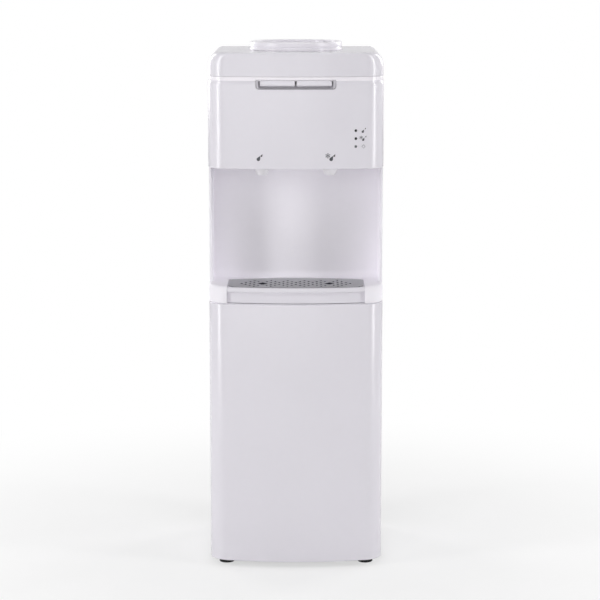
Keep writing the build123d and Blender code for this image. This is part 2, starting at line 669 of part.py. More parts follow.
def drip_tray():
    """Shallow tray with an overhanging front lip and a ledge for the grille."""
    lip_low = TRAY_RIM - TRAY_LIP_HEIGHT
    skirt_low = BAND_BASE + GAP
    tray = slab(tray_plan(0, TRAY_FACE_INSET, 0), TRAY_FLOOR, TRAY_RIM)
    y_lip = FRONT + TRAY_LIP_REACH
    lip = slab(tray_plan(0, 0, 0), lip_low, TRAY_RIM)
    lip -= box(-HALF, HALF, y_lip, BACK, 0, HEIGHT)
    lip = bevel(lip, TRAY_RIM, y_lip - 1, SOFT_EDGE)
    tray += bevel(lip, lip_low, y_lip - 1, SOFT_EDGE)
    ledge = TRAY_RIM - GRILLE_THICKNESS - GAP
    tray -= slab(tray_plan(TRAY_WALL, GRILLE_RIM - GAP, GRILLE_CORNER), ledge, TRAY_RIM + 1)
    tray -= slab(tray_plan(2 * TRAY_WALL, 2 * GRILLE_RIM, GRILLE_CORNER), TRAY_FLOOR + TRAY_WALL, HEIGHT)
    skirt = slab(tray_plan(0, TRAY_FACE_INSET, 0), skirt_low, TRAY_FLOOR + 1)
    skirt -= slab(tray_plan(0, TRAY_FACE_INSET + TRAY_WALL, 0), skirt_low - 1, TRAY_FLOOR + TRAY_WALL)
    return tray + (skirt - box(-HALF, HALF, FRONT + POCKET_FLOOR_SET_BACK - 2, BACK, 0, HEIGHT))


def drip_grille():
    """Perforated grille: rhombic slots in a staggered pattern, a large diamond under each nozzle."""
    top = TRAY_RIM
    plate = slab(tray_plan(TRAY_WALL + GAP, GRILLE_RIM, GRILLE_CORNER), top - GRILLE_THICKNESS, top)
    diamond = Polygon((-0.5, 0), (0, -0.5), (0.5, 0), (0, 0.5))
    holes = []
    for place, width, length in grille_slots():
        holes.append(Pos(*place) * scale(diamond, by=(width, length, 1)))
    cut = Sketch() + holes
    return plate - slab(cut, top - 2 * GRILLE_THICKNESS, top + 1)


def grille_slots():
    """Place, width and length of every opening in the grille."""
    y_middle = FRONT + PATTERN_DEPTH
    slots = []
    for column, count in enumerate(COLUMN_SLOTS):
        pitch = 2 * SLOT_PITCH_Y if column in SPREAD_COLUMNS else SLOT_PITCH_Y
        for side in (-1, 1) if column else (1,):
            x = side * column * SLOT_PITCH_X
            if not count:
                slots.append(((x, y_middle), DRAIN_WIDTH, DRAIN_LENGTH))
            for row in range(count):
                y = y_middle + (row - (count - 1) / 2) * pitch
                slots.append(((x, y), SLOT_WIDTH, SLOT_LENGTH))
    return slots


# ---------------------------------------------------------------- keys and taps

def key_span():
    """Inner and outer end of a key, measured from the middle."""
    return KEY_CENTRE_GAP / 2, KEY_SLOT_HALF - KEY_FRAME_END - KEY_END_GAP


def key_bezel():
    """Grey frame round the keys, with two pairs of ears for the hinge pins."""
    low = HEAD_TOP - KEY_SLOT_HEIGHT
    inner, outer = key_span()
    y_back = FRONT + KEY_FRAME_DEPTH
    frame = box(-KEY_SLOT_HALF, KEY_SLOT_HALF, FRONT, y_back, low, HEAD_TOP)
    frame = fillet(frame.edges().filter_by(Axis.Y).sort_by(Axis.Z)[:2], KEY_FRAME_CORNER)
    half = KEY_SLOT_HALF - KEY_FRAME_END
    frame -= box(-half, half, FRONT - 1, y_back + 1, low + KEY_FRAME_WALL, HEAD_TOP - KEY_FRAME_WALL)
    frame &= slab(front_plan(SOFT_EDGE / 2, SHEET_FRONT), low - 1, HEAD_TOP + 1)
    half_ear = EAR_THICKNESS / 2
    for side in (-1, 1):
        for x in (side * (inner + half_ear + 1), side * (outer + 0.4 + half_ear)):
            ear = box(x - half_ear, x + half_ear, PIVOT_Y - HUB_RADIUS, y_back, low + 1, HEAD_TOP - 1)
            frame += ear
    for side in (-1, 1):
        end = (side * (pin_end() + GAP / 2), PIVOT_Y, PIVOT_Z)
        frame -= rod(PIN_RADIUS + PIN_RUNNING / 2, (0, PIVOT_Y, PIVOT_Z), end, HUB_SIDES)
    return frame


def pin_end():
    """Outer end of a hinge pin, measured from the middle."""
    return key_span()[1] + EAR_THICKNESS - 0.8


def key_hinge_pins():
    """Two steel pins, one through the ears and hub of each key."""
    inner = key_span()[0]
    pins = []
    for side in (-1, 1):
        start = (side * (inner + 0.5), PIVOT_Y, PIVOT_Z)
        end = (side * pin_end(), PIVOT_Y, PIVOT_Z)
        pins.append(rod(PIN_RADIUS, start, end).solid())
    return Compound(pins)


def tap_key(side):
    """Key bar at the front, hub on the hinge pin and forked arm that lifts the tap's plunger."""
    inner, outer = key_span()
    top = HEAD_TOP - KEY_FRAME_WALL - GAP / 2
    low = top - KEY_HEIGHT
    x0, x1 = sorted((side * inner, side * outer))
    bar = box(x0, x1, FRONT - 1, FRONT + KEY_SET_BACK + KEY_BAR_DEPTH, low, top)
    bar &= slab(front_plan(KEY_SET_BACK, SHEET_FRONT), low - 1, top + 1)
    bar = chamfer(bar.edges().filter_by(is_key_front), SOFT_EDGE)
    hub0, hub1 = sorted((side * (inner + EAR_THICKNESS + 2), side * outer))
    arm_low, arm_high = PIVOT_Z - ARM_HEIGHT / 2, PIVOT_Z + ARM_HEIGHT / 2
    web = box(hub0, hub1, FRONT + KEY_SET_BACK + EAR_THICKNESS, PIVOT_Y, arm_low, arm_high)
    hub = rod(HUB_RADIUS, (hub0, PIVOT_Y, PIVOT_Z), (hub1, PIVOT_Y, PIVOT_Z), HUB_SIDES)
    axis_x = tap_axis(side)
    slot_half = PLUNGER_ROD + FORK_CLEARANCE
    fork_end = TAP_Y + PLUNGER_ROD + FORK_TIP
    arm = box(axis_x - ARM_WIDTH / 2, axis_x + ARM_WIDTH / 2, PIVOT_Y, TAP_Y, arm_low, arm_high)
    fork = box(axis_x - FORK_HALF, axis_x + FORK_HALF, TAP_Y - FORK_LENGTH, fork_end, arm_low, arm_high)
    slot = box(axis_x - slot_half, axis_x + slot_half, TAP_Y - slot_half - 1,
               fork_end + 1, PIVOT_Z - ARM_HEIGHT, PIVOT_Z + ARM_HEIGHT)
    bore = rod(PIN_RADIUS + PIN_RUNNING, (0, PIVOT_Y, PIVOT_Z), (side * HALF, PIVOT_Y, PIVOT_Z))
    return bar + web + hub + arm + fork - slot - bore


def is_key_front(edge):
    """True for the long level edges of a key's face."""
    size = edge.bounding_box().size
    return size.Z < 0.01 and size.X > KEY_HEIGHT and edge.center().Y < FRONT + KEY_BAR_DEPTH / 2


def tap_axis(side):
    """X of a tap: hot on the left, cold on the right."""
    return side * TAP_SPACING / 2


def tap_body(side):
    """Moulded valve body on the head's floor, with its inlet port to the outside."""
    seat = HEAD_BASE + SEAT_LEVEL
    neck = NOZZLE_NECK + 2 * GAP
    neck_top = TAP_BASE + NOZZLE_INSERT + GAP
    shell = [(TAP_RADIUS + 2, TAP_BASE), (TAP_RADIUS + 2, TAP_BASE + 3), (TAP_RADIUS, TAP_BASE + 5),
             (TAP_RADIUS, TAP_TOP)]
    hollow = [(neck, TAP_BASE), (neck, neck_top), (OUTLET_RADIUS, neck_top), (OUTLET_RADIUS, seat),
              (TAP_BORE, seat), (TAP_BORE, TAP_TOP)]
    x = tap_axis(side)
    start = (x + side * (TAP_BORE + 1), TAP_Y, PORT_Z)
    end = (x + side * (TAP_RADIUS + PORT_LENGTH), TAP_Y, PORT_Z)
    bore_end = (end[0] + side, TAP_Y, PORT_Z)
    body = turned(shell, TAP_SIDES, x, TAP_Y) + rod(PORT_RADIUS, start, end, TAP_SIDES)
    body -= turned(hollow, TAP_SIDES, x, TAP_Y)
    return body - rod(PORT_RADIUS - 2, (x, TAP_Y, PORT_Z), bore_end, TAP_SIDES)


def tap_bonnets():
    """Screwed caps that close the two valve bodies and guide the plunger rods."""
    low = TAP_TOP - BONNET_INSERT
    high = TAP_TOP + BONNET_HEIGHT
    guide = PLUNGER_ROD + GAP
    outline = [(TAP_BORE - GAP, low), (TAP_BORE - GAP, TAP_TOP), (TAP_RADIUS, TAP_TOP),
               (TAP_RADIUS, high - 1), (TAP_RADIUS - 1, high)]
    bonnets = []
    for side in (-1, 1):
        x = tap_axis(side)
        hole = rod(guide, (x, TAP_Y, low - 1), (x, TAP_Y, high + 1), TAP_SIDES)
        bonnets.append((turned(outline, TAP_SIDES, x, TAP_Y) - hole).solid())
    return Compound(bonnets)


def tap_plunger(side):
    """Valve disc, rod with a spring collar and a coned head that the key's fork lifts."""
    seat = HEAD_BASE + SEAT_LEVEL + GAP
    collar = spring_low() - GAP
    head = PIVOT_Z + ARM_HEIGHT / 2 + LIFT_GAP
    outline = [(VALVE_RADIUS - 2, seat), (VALVE_RADIUS, seat + 1.5),
               (VALVE_RADIUS, seat + VALVE_HEIGHT), (PLUNGER_ROD, seat + VALVE_HEIGHT),
               (PLUNGER_ROD, collar - 2), (SPRING_RADIUS + 1, collar - 2), (SPRING_RADIUS + 1, collar),
               (PLUNGER_ROD, collar), (PLUNGER_ROD, head), (PLUNGER_HEAD, head + PLUNGER_HEAD - PLUNGER_ROD),
               (PLUNGER_HEAD - 1.5, head + PLUNGER_HEAD)]
    return turned(outline, TAP_SIDES, tap_axis(side), TAP_Y)


def spring_high():
    """Upper end of a tap spring, against the bonnet."""
    return TAP_TOP - BONNET_INSERT - GAP


def spring_low():
    """Lower end of a tap spring, on the plunger's collar."""
    return spring_high() - SPRING_LENGTH


def tap_spring(side):
    """Wound return spring of a plunger."""
    height = SPRING_LENGTH - 2 * SPRING_WIRE
    wire = Rectangle(2 * SPRING_WIRE, 2 * SPRING_WIRE)
    spring = winding(SPRING_RADIUS - SPRING_WIRE, height, SPRING_TURNS, TAP_SIDES, wire)
    return Pos(tap_axis(side), TAP_Y, spring_low() + SPRING_WIRE) * spring


def nozzle(side):
    """Pale spout under the head: flange, taper and a neck up into the valve body."""
    low = HEAD_BASE - NOZZLE_HEIGHT
    high = TAP_BASE + NOZZLE_INSERT
    flange = HEAD_BASE - GAP
    outline = [(NOZZLE_TIP, low), (NOZZLE_TIP + 1.5, low + 4), (NOZZLE_TOP, flange - NOZZLE_RIM),
               (NOZZLE_TOP, flange), (NOZZLE_NECK, flange), (NOZZLE_NECK, high)]
    hollow = [(NOZZLE_TIP - 2, low), (OUTLET_RADIUS, flange), (OUTLET_RADIUS, high)]
    x = tap_axis(side)
    return turned(outline, NOZZLE_SIDES, x, TAP_Y) - turned(hollow, NOZZLE_SIDES, x, TAP_Y)


# ---------------------------------------------------------------- indicator lights

def indicator_lights():
    """Three clear light pipes from the board to the head panel's face."""
    y0 = bow_line(LIGHT_X) - 0.2
    pipes = []
    for z in light_levels():
        start, end = (LIGHT_X, y0, z), (LIGHT_X, y0 + LIGHT_LENGTH, z)
        pipes.append(rod(LIGHT_RADIUS, start, end, LIGHT_SIDES).solid())
    return Compound(pipes)


def control_board():
    """Circuit board behind the lights, on two posts from the head panel, with relay and socket."""
    y0 = bow_line(LIGHT_X) - 0.2 + LIGHT_LENGTH + GAP
    z = HEAD_BASE + LIGHT_LEVEL
    half_w, half_h = BOARD_WIDTH / 2, BOARD_HEIGHT / 2
    board = box(LIGHT_X - half_w, LIGHT_X + half_w, y0, y0 + BOARD_THICKNESS, z - half_h, z + half_h)
    for (width, depth, height), level in ((RELAY_SIZE, half_h / 2), (SOCKET_SIZE, -half_h + POST_INSET)):
        x0 = LIGHT_X - width / 2
        board += box(x0, x0 + width, y0, y0 + depth, z + level - height / 2, z + level + height / 2)
    x = LIGHT_X - half_w + POST_INSET
    for level in (z - half_h + POST_INSET, z + half_h - POST_INSET):
        start = (x, bow_line(x, PANEL_WALL) + GAP + 0.2, level)
        board += rod(POST_RADIUS, start, (x, y0 + 1, level), TAP_SIDES)
    return board


# ---------------------------------------------------------------- tanks and water lines

def tank_shelf():
    """Sheet shelf across the cabinet under the cold tank, with turned-up sides."""
    y0 = SHEET_FRONT + GAP
    y1 = CABINET_BACK - 2 * SHEET - GAP
    shelf = box(-LINER_HALF, LINER_HALF, y0, y1, TANK_SHELF, SHELF_TOP)
    for side in (-1, 1):
        x0, x1 = sorted((side * LINER_HALF, side * (LINER_HALF - SHEET)))
        shelf += box(x0, x1, y0, y1, TANK_SHELF, TANK_SHELF + SHELF_RIM)
    holes = [(HOSE_RADIUS, *hot_outlet()), (HOSE_RADIUS, *feed_place()), (CAPILLARY_RADIUS, -RISER_X, SEAT_Y),
             (PIPE_RADIUS, -HALF + SUCTION_INSET, COMPRESSOR_Y)]
    for radius, x, y in holes:
        start, end = (x, y, TANK_SHELF - 1), (x, y, SHELF_TOP + 1)
        shelf -= rod(radius + HOLE_CLEARANCE, start, end, HOSE_SIDES)
    return shelf


def hot_outlet():
    """Where the hot water leaves the top of the hot tank."""
    return OUTLET_PLACE[0], HOT_Y + OUTLET_PLACE[1]


def feed_place():
    """Where the feed pipe drops from the cold tank into the hot tank."""
    return FEED_PLACE[0], HOT_Y - FEED_PLACE[1]


def cold_tank():
    """Stainless tank with a neck that takes the funnel's spigot."""
    low, high = COLD_BASE, COLD_TOP
    neck_top = high + NECK_RISE
    shell = [(COLD_RADIUS - TANK_EDGE, low), (COLD_RADIUS, low + TANK_EDGE), (COLD_RADIUS, high - TANK_EDGE),
             (COLD_RADIUS - TANK_EDGE, high), (NECK_RADIUS, high), (NECK_RADIUS, neck_top)]
    inner = COLD_RADIUS - TANK_WALL
    neck = NECK_RADIUS - TANK_WALL
    hollow = [(inner - TANK_EDGE, low + TANK_WALL), (inner, low + TANK_EDGE), (inner, high - TANK_EDGE),
              (inner - TANK_EDGE, high - TANK_WALL), (neck, high - TANK_WALL), (neck, neck_top)]
    return turned(shell, TANK_SIDES, 0, SEAT_Y) - turned(hollow, TANK_SIDES, 0, SEAT_Y)


def funnel_seal():
    """Rubber ring in the tank's neck, round the funnel's spigot."""
    low = COLD_TOP - 2
    lip = COLD_TOP + NECK_RISE + GAP / 3
    outline = [(NECK_RADIUS - TANK_WALL - GAP / 3, low), (NECK_RADIUS - TANK_WALL - GAP / 3, lip),
               (NECK_RADIUS, lip), (NECK_RADIUS, lip + 2)]
    hole = rod(SPIGOT_RADIUS + GAP, (0, SEAT_Y, low - 1), (0, SEAT_Y, lip + 3), COLLAR_SIDES)
    return turned(outline, TANK_SIDES, 0, SEAT_Y) - hole


def tank_insulation():
    """Foam shells round the cold tank, front and back half."""
    inner = coil_face()
    outer = inner + INSULATION
    low, high = INSULATION_BASE, COLD_TOP + GAP + FOAM_LID
    foam = turned([(outer, low), (outer, high - 3), (outer - 3, high)], TANK_SIDES, 0, SEAT_Y)
    foam -= rod(inner, (0, SEAT_Y, low + INSULATION), (0, SEAT_Y, COLD_TOP + GAP), TANK_SIDES)
    foam -= rod(NECK_RADIUS + GAP, (0, SEAT_Y, COLD_TOP), (0, SEAT_Y, high + 1), TANK_SIDES)
    foam -= rod(HOSE_RADIUS + 1, (COLD_RADIUS, SEAT_Y, PORT_Z), (outer + 1, SEAT_Y, PORT_Z), HOSE_SIDES)
    for radius, z in ((CAPILLARY_RADIUS, capillary_level()), (PIPE_RADIUS, suction_level())):
        foam -= rod(radius + 1, (-inner + 2, SEAT_Y, z), (-outer - 1, SEAT_Y, z), HOSE_SIDES)
    x, y = feed_place()
    foam -= rod(HOSE_RADIUS + 1, (x, y, low - 1), (x, y, low + INSULATION + 1), HOSE_SIDES)
    edge = outer / math.cos(math.pi / TANK_SIDES) + 1
    front = foam & box(-edge, edge, SEAT_Y - edge, SEAT_Y - GAP / 6, low - 1, high + 1)
    back = foam & box(-edge, edge, SEAT_Y + GAP / 6, SEAT_Y + edge, low - 1, high + 1)
    return Compound([*front.solids(), *back.solids()])


def evaporator_coil():
    """Refrigerant tube wound round the cold tank."""
    radius = COLD_RADIUS + GAP + COIL_RADIUS
    section = RegularPolygon(COIL_RADIUS, HOSE_SIDES)
    coil = winding(radius, COIL_TURNS * COIL_PITCH, COIL_TURNS, TANK_SIDES, section)
    return Pos(0, SEAT_Y, PORT_Z - 1.5 * COIL_PITCH) * coil


def hot_tank():
    """Stainless heating tank behind the back-splash."""
    low, high = HOT_TOP - HOT_HEIGHT, HOT_TOP
    edge = 2 * TANK_EDGE
    inner = HOT_RADIUS - TANK_WALL
    shell = [(HOT_RADIUS - edge, low), (HOT_RADIUS, low + edge), (HOT_RADIUS, high - edge),
             (HOT_RADIUS - edge, high)]
    hollow = [(inner - edge, low + TANK_WALL), (inner, low + edge), (inner, high - edge),
              (inner - edge, high - TANK_WALL)]
    return turned(shell, TANK_SIDES, 0, HOT_Y) - turned(hollow, TANK_SIDES, 0, HOT_Y)


def heater_band():
    """Clamp heater round the lower part of the hot tank, with its terminal block."""
    low = HOT_TOP - HOT_HEIGHT + HEATER_RISE
    high = low + HEATER_HEIGHT
    inner = HOT_RADIUS + GAP
    outer = inner + HEATER_THICKNESS
    band = rod(outer, (0, HOT_Y, low), (0, HOT_Y, high), TANK_SIDES)
    half, depth = TERMINAL_BLOCK
    band += box(-half, half, HOT_Y - outer - depth, HOT_Y - outer + 1, low + depth, high - depth)
    return band - rod(inner, (0, HOT_Y, low - 1), (0, HOT_Y, high + 1), TANK_SIDES)


def thermostats():
    """Two snap discs on the side of the hot tank: control and safety cut-out."""
    upper = HOT_TOP - THERMOSTAT_DROP
    face = HOT_RADIUS + GAP
    rim = face + THERMOSTAT_DEPTH
    discs = []
    for z in (upper, upper - THERMOSTAT_PITCH):
        disc = rod(THERMOSTAT_RADIUS, (face, HOT_Y, z), (rim, HOT_Y, z), HOSE_SIDES)
        blade, half = THERMOSTAT_BLADES
        disc += box(rim - 1, rim + blade, HOT_Y - half, HOT_Y + half, z - half, z + half)
        discs.append(disc.solid())
    return Compound(discs)


def hot_tank_bracket():
    """Bent sheet that carries the hot tank from the back panel."""
    high = HOT_TOP - HOT_HEIGHT - GAP
    low = high - BRACKET_SHEET
    y1 = CABINET_BACK - SHEET
    half = BRACKET_HALF_WIDTH
    ledge = box(-half, half, HOT_Y - BRACKET_REACH, y1, low, high)
    ledge += box(-half, half, y1 - BRACKET_SHEET, y1, low - BRACKET_DROP, high)
    return ledge - rod(HOSE_RADIUS + HOLE_CLEARANCE, (0, HOT_Y, low - 1), (0, HOT_Y, high + 1), HOSE_SIDES)


def water_hoses():
    """Hot and cold hose to the taps, feed pipe between the tanks, drain hose to the spout."""
    z = PORT_Z
    port = TAP_SPACING / 2 + TAP_RADIUS + PORT_LENGTH + GAP
    lane = HALF - HOSE_LANE
    hot_x, hot_y = hot_outlet()
    feed_x, feed_y = feed_place()
    hot = bent_tube([(-port, TAP_Y, z), (-lane, TAP_Y, z), (-lane, hot_y, z), (hot_x, hot_y, z),
                     (hot_x, hot_y, HOT_TOP + GAP)], HOSE_RADIUS, HOSE_BEND, HOSE_SIDES)
    cold = bent_tube([(port, TAP_Y, z), (lane, TAP_Y, z), (lane, SEAT_Y, z),
                      (COLD_RADIUS + GAP, SEAT_Y, z)], HOSE_RADIUS, HOSE_BEND, HOSE_SIDES)
    feed = rod(HOSE_RADIUS, (feed_x, feed_y, HOT_TOP + GAP), (feed_x, feed_y, COLD_BASE - GAP), HOSE_SIDES)
    drain_end = (0, CABINET_BACK - SPOUT_INSERT - GAP, DRAIN_LEVEL)
    drain = bent_tube([(0, HOT_Y, HOT_TOP - HOT_HEIGHT - GAP), (0, HOT_Y, DRAIN_LEVEL), drain_end],
                      HOSE_RADIUS, HOSE_BEND, HOSE_SIDES)
    return Compound([hot.solid(), cold.solid(), feed.solid(), drain.solid()])


# ---------------------------------------------------------------- back of the cabinet

def back_panel():
    """Painted back sheet, open below for the compressor, with its switch, drain and cord holes."""
    panel = box(-HALF, HALF, CABINET_BACK - SHEET, CABINET_BACK, BACK_OPENING, HEAD_TOP)
    z = HEAD_TOP - SWITCH_LEVEL
    w, h = SWITCH_HALF_WIDTH - SWITCH_RIM, SWITCH_HALF_HEIGHT - SWITCH_RIM
    y0, y1 = CABINET_BACK - 5, CABINET_BACK + 5
    panel -= box(-w, w, y0, y1, z - h, z + h)
    holes = [(SPOUT_RADIUS, 0, DRAIN_LEVEL), (GLAND_RADIUS, GLAND_X, DRAIN_LEVEL),
             (PIPE_RADIUS + HOLE_CLEARANCE, RISER_X, discharge_level())]
    for radius, x, z in holes:
        panel -= rod(radius + GAP, (x, y0, z), (x, y1, z), FOOT_SIDES)
    return panel


def discharge_level():
    """Level of the condenser's upper end, where the discharge pipe comes through the back."""
    return CONDENSER_BASE + (RUN_COUNT - 1) * RUN_PITCH


def switch_frame():
    """Frame of the heating and cooling switches, clipped into the back panel."""
    z = HEAD_TOP - SWITCH_LEVEL
    w, h = SWITCH_HALF_WIDTH, SWITCH_HALF_HEIGHT
    face = CABINET_BACK + 2
    rim = SWITCH_RIM + GAP
    frame = box(-w, w, CABINET_BACK, face, z - h, z + h)
    frame += box(-w + rim, w - rim, CABINET_BACK - 14, CABINET_BACK + 1, z - h + rim, z + h - rim)
    for side in (-1, 1):
        x = side * SWITCH_PITCH / 2
        half_w, half_h = ROCKER_HALF_WIDTH + ROCKER_GAP, ROCKER_HALF_HEIGHT + 2 * ROCKER_GAP
        frame -= box(x - half_w, x + half_w, CABINET_BACK - 10, face + 1, z - half_h, z + half_h)
        reach = half_w + ROCKER_PIN_INSERT + GAP
        start, end = (x - reach, CABINET_BACK, z), (x + reach, CABINET_BACK, z)
        frame -= rod(ROCKER_PIN + GAP, start, end, HOSE_SIDES)
    return frame


def rocker(side):
    """Rocker with a dished face and a pivot pin, tilted to its upper position."""
    x = side * SWITCH_PITCH / 2
    z = HEAD_TOP - SWITCH_LEVEL
    w, h = ROCKER_HALF_WIDTH, ROCKER_HALF_HEIGHT
    drop = h * math.tan(math.radians(ROCKER_TILT))
    outline = Plane.YZ * make_face(Polyline((-4, -4), (2 + drop, -h), (4.5 + drop, -h + 0.6), (3.2, 0),
                                            (4.5 + drop, h - 0.6), (2 + drop, h), (-4, 4), close=True))
    reach = w + ROCKER_GAP + ROCKER_PIN_INSERT
    body = Pos(-w, 0, 0) * extrude(outline, 2 * w, dir=(1, 0, 0))
    body += rod(ROCKER_PIN, (-reach, 0, 0), (reach, 0, 0))
    return Pos(x, CABINET_BACK, z) * Rot(-ROCKER_TILT, 0, 0) * body


def drain_spout():
    """Drain tail through the back panel, with its flange."""
    y0, y1 = CABINET_BACK - SPOUT_INSERT, CABINET_BACK + SPOUT_LENGTH
    z = DRAIN_LEVEL
    tail = Plane(origin=(0, y0, z), z_dir=(0, 1, 0)) * RegularPolygon(SPOUT_RADIUS, FOOT_SIDES)
    spout = extrude(tail, y1 - y0)
    spout += rod(SPOUT_RADIUS + 3, (0, CABINET_BACK, z), (0, CABINET_BACK + SPOUT_FLANGE, z), FOOT_SIDES)
    return spout - rod(HOSE_RADIUS, (0, y0 - 1, z), (0, y1 + 1, z), FOOT_SIDES)


def drain_cap():
    """Screw cap on the drain spout, with grip ribs."""
    y0, y1 = CABINET_BACK + SPOUT_FLANGE + GAP, CABINET_BACK + DRAIN_CAP_REACH
    z = DRAIN_LEVEL
    cap = rod(DRAIN_CAP_RADIUS - 1, (0, y0, z), (0, y1, z), FOOT_SIDES)
    for step in range(GRIP_RIBS):
        rib = Box(GRIP_RIB_WIDTH, y1 - y0, 2 * DRAIN_CAP_RADIUS)
        cap += Pos(0, (y0 + y1) / 2, z) * Rot(0, 180 / GRIP_RIBS * step, 0) * rib
    return cap - rod(SPOUT_RADIUS + GAP, (0, y0 - 1, z), (0, CABINET_BACK + SPOUT_LENGTH + GAP, z))


def cord_gland():
    """Bush in the back panel for the mains lead."""
    y, z = CABINET_BACK, DRAIN_LEVEL
    gland = rod(GLAND_RADIUS, (GLAND_X, y - SHEET - 4, z), (GLAND_X, y + 4, z), FOOT_SIDES)
    gland += rod(GLAND_RADIUS + 2.5, (GLAND_X, y, z), (GLAND_X, y + 2.5, z), FOOT_SIDES)
    return gland - rod(GLAND_BORE, (GLAND_X, y - 20, z), (GLAND_X, y + 20, z), FOOT_SIDES)


# ---------------------------------------------------------------- cooling unit

def condenser():
    """Wire-and-tube condenser: one serpentine tube between two layers of upright wires."""
    reach = RUN_HALF + RUN_PITCH / 2
    stops = [(-RUN_HALF, CONDENSER_Y, CONDENSER_BASE)]
    for run in range(RUN_COUNT - 1):
        x = reach if run % 2 == 0 else -reach
        for z in (CONDENSER_BASE + run * RUN_PITCH, CONDENSER_BASE + (run + 1) * RUN_PITCH):
            stops.append((x, CONDENSER_Y, z))
    stops.append((RUN_HALF, CONDENSER_Y, discharge_level()))
    tube = bent_tube(stops, TUBE_RADIUS, RUN_PITCH / 2, HOSE_SIDES)
    return Compound([tube.solid(), *condenser_wires()])


def condenser_wires():
    """Upright wires in front of and behind the serpentine."""
    low = CONDENSER_BASE - WIRE_OVERHANG
    high = discharge_level() + WIRE_OVERHANG
    pitch = 2 * (RUN_HALF - 3) / (WIRE_COUNT - 1)
    offset = TUBE_RADIUS + WIRE_RADIUS + GAP / 3
    wire = box(-WIRE_RADIUS, WIRE_RADIUS, -WIRE_RADIUS, WIRE_RADIUS, low, high)
    wires = []
    for layer in (-1, 1):
        for step in range(WIRE_COUNT):
            x = -RUN_HALF + 3 + step * pitch
            wires.append((Pos(x, CONDENSER_Y + layer * offset, 0) * wire).solid())
    return wires


def condenser_brackets():
    """Two bent strips on the back panel that carry the condenser's inner wires."""
    inner = CONDENSER_Y - TUBE_RADIUS - 2 * WIRE_RADIUS - 2 * GAP
    strips = []
    for z in (CONDENSER_BASE - STRIP_RISE, discharge_level() + STRIP_RISE):
        strip = box(-RUN_HALF, RUN_HALF, CABINET_BACK, inner, z, z + BRACKET_SHEET)
        strip += box(-RUN_HALF, RUN_HALF, CABINET_BACK, CABINET_BACK + BRACKET_SHEET, z - STRIP_FLANGE, z + 1)
        strip += box(-RUN_HALF, RUN_HALF, inner - BRACKET_SHEET, inner, z, z + STRIP_RISE)
        strips.append(strip.solid())
    return Compound(strips)


def compressor():
    """Welded pot with its seam flange, on a mounting plate; the motor fills part of the inside."""
    r = COMPRESSOR_RADIUS
    low = COMPRESSOR_BASE
    high = low + COMPRESSOR_HEIGHT
    seam_low = low + COMPRESSOR_HEIGHT * SEAM_SHARE
    seam_high = seam_low + SEAM_HEIGHT
    flange = r + SEAM_FLANGE
    bottom = [(r - inset, low + rise) for inset, rise in POT_BOTTOM]
    dome = [(r - inset, high - drop) for inset, drop in POT_DOME]
    seam = [(r, seam_low), (flange, seam_low), (flange, seam_high), (r, seam_high)]
    pot = turned([*bottom, *seam, *dome], TANK_SIDES, 0, COMPRESSOR_Y)
    x, y = COMPRESSOR_FOOT_X + PLATE_MARGIN, COMPRESSOR_FOOT_Y + PLATE_MARGIN
    plate = box(-x, x, COMPRESSOR_Y - y, COMPRESSOR_Y + y, low, low + PLATE_THICKNESS)
    plate = chamfer(plate.edges().filter_by(Axis.Z), PLATE_MARGIN)
    for foot_x, foot_y in grommet_places():
        start, end = (foot_x, foot_y, low - 1), (foot_x, foot_y, low + 2 * PLATE_THICKNESS)
        plate -= rod(GROMMET_PIN + GAP, start, end, GROMMET_SIDES)
    inner = r - COMPRESSOR_WALL
    hollow = [(inner, bottom[-1][1]), (inner, dome[0][1]),
              (inner - COMPRESSOR_WALL, dome[1][1] - COMPRESSOR_WALL)]
    return pot + plate - turned(hollow, TANK_SIDES, 0, COMPRESSOR_Y)


def grommet_places():
    """Four mounting points of the compressor."""
    x, y = COMPRESSOR_FOOT_X, COMPRESSOR_FOOT_Y
    return [(sx * x, COMPRESSOR_Y + sy * y) for sy in (-1, 1) for sx in (-1, 1)]


def compressor_grommets():
    """Rubber mounts between the base plate and the compressor's plate."""
    low = BASE_LEVEL + BASE_SHEET + GAP
    high = COMPRESSOR_BASE - GAP
    waist = (low + high) / 2
    outline = [(GROMMET_RADIUS, low), (GROMMET_RADIUS - 2, waist), (GROMMET_RADIUS, high),
               (GROMMET_PIN, high), (GROMMET_PIN, high + PLATE_THICKNESS + 1.5)]
    return Compound([turned(outline, GROMMET_SIDES, x, y).solid() for x, y in grommet_places()])


def start_relay():
    """Relay box clipped to the side of the compressor."""
    x = COMPRESSOR_RADIUS + GAP
    z = COMPRESSOR_BASE + START_RELAY_RISE
    width, depth, height = START_RELAY_SIZE
    relay = box(-x - width, -x, COMPRESSOR_Y - depth / 2, COMPRESSOR_Y + depth / 2, z, z + height)
    return chamfer(relay.edges().filter_by(Axis.X), START_RELAY_BEVEL)


def filter_drier():
    """Copper drier beside the compressor, upright."""
    low, high = DRIER_BASE, DRIER_BASE + DRIER_LENGTH
    outline = [(PIPE_RADIUS, low), (DRIER_RADIUS, low + DRIER_TAPER), (DRIER_RADIUS, high - DRIER_TAPER),
               (PIPE_RADIUS, high)]
    return turned(outline, GROMMET_SIDES, -RISER_X, SEAT_Y)


def coil_face():
    """Distance from the tank's axis at which a pipe meets the evaporator coil."""
    return COLD_RADIUS + 2 * COIL_RADIUS + 2 * GAP


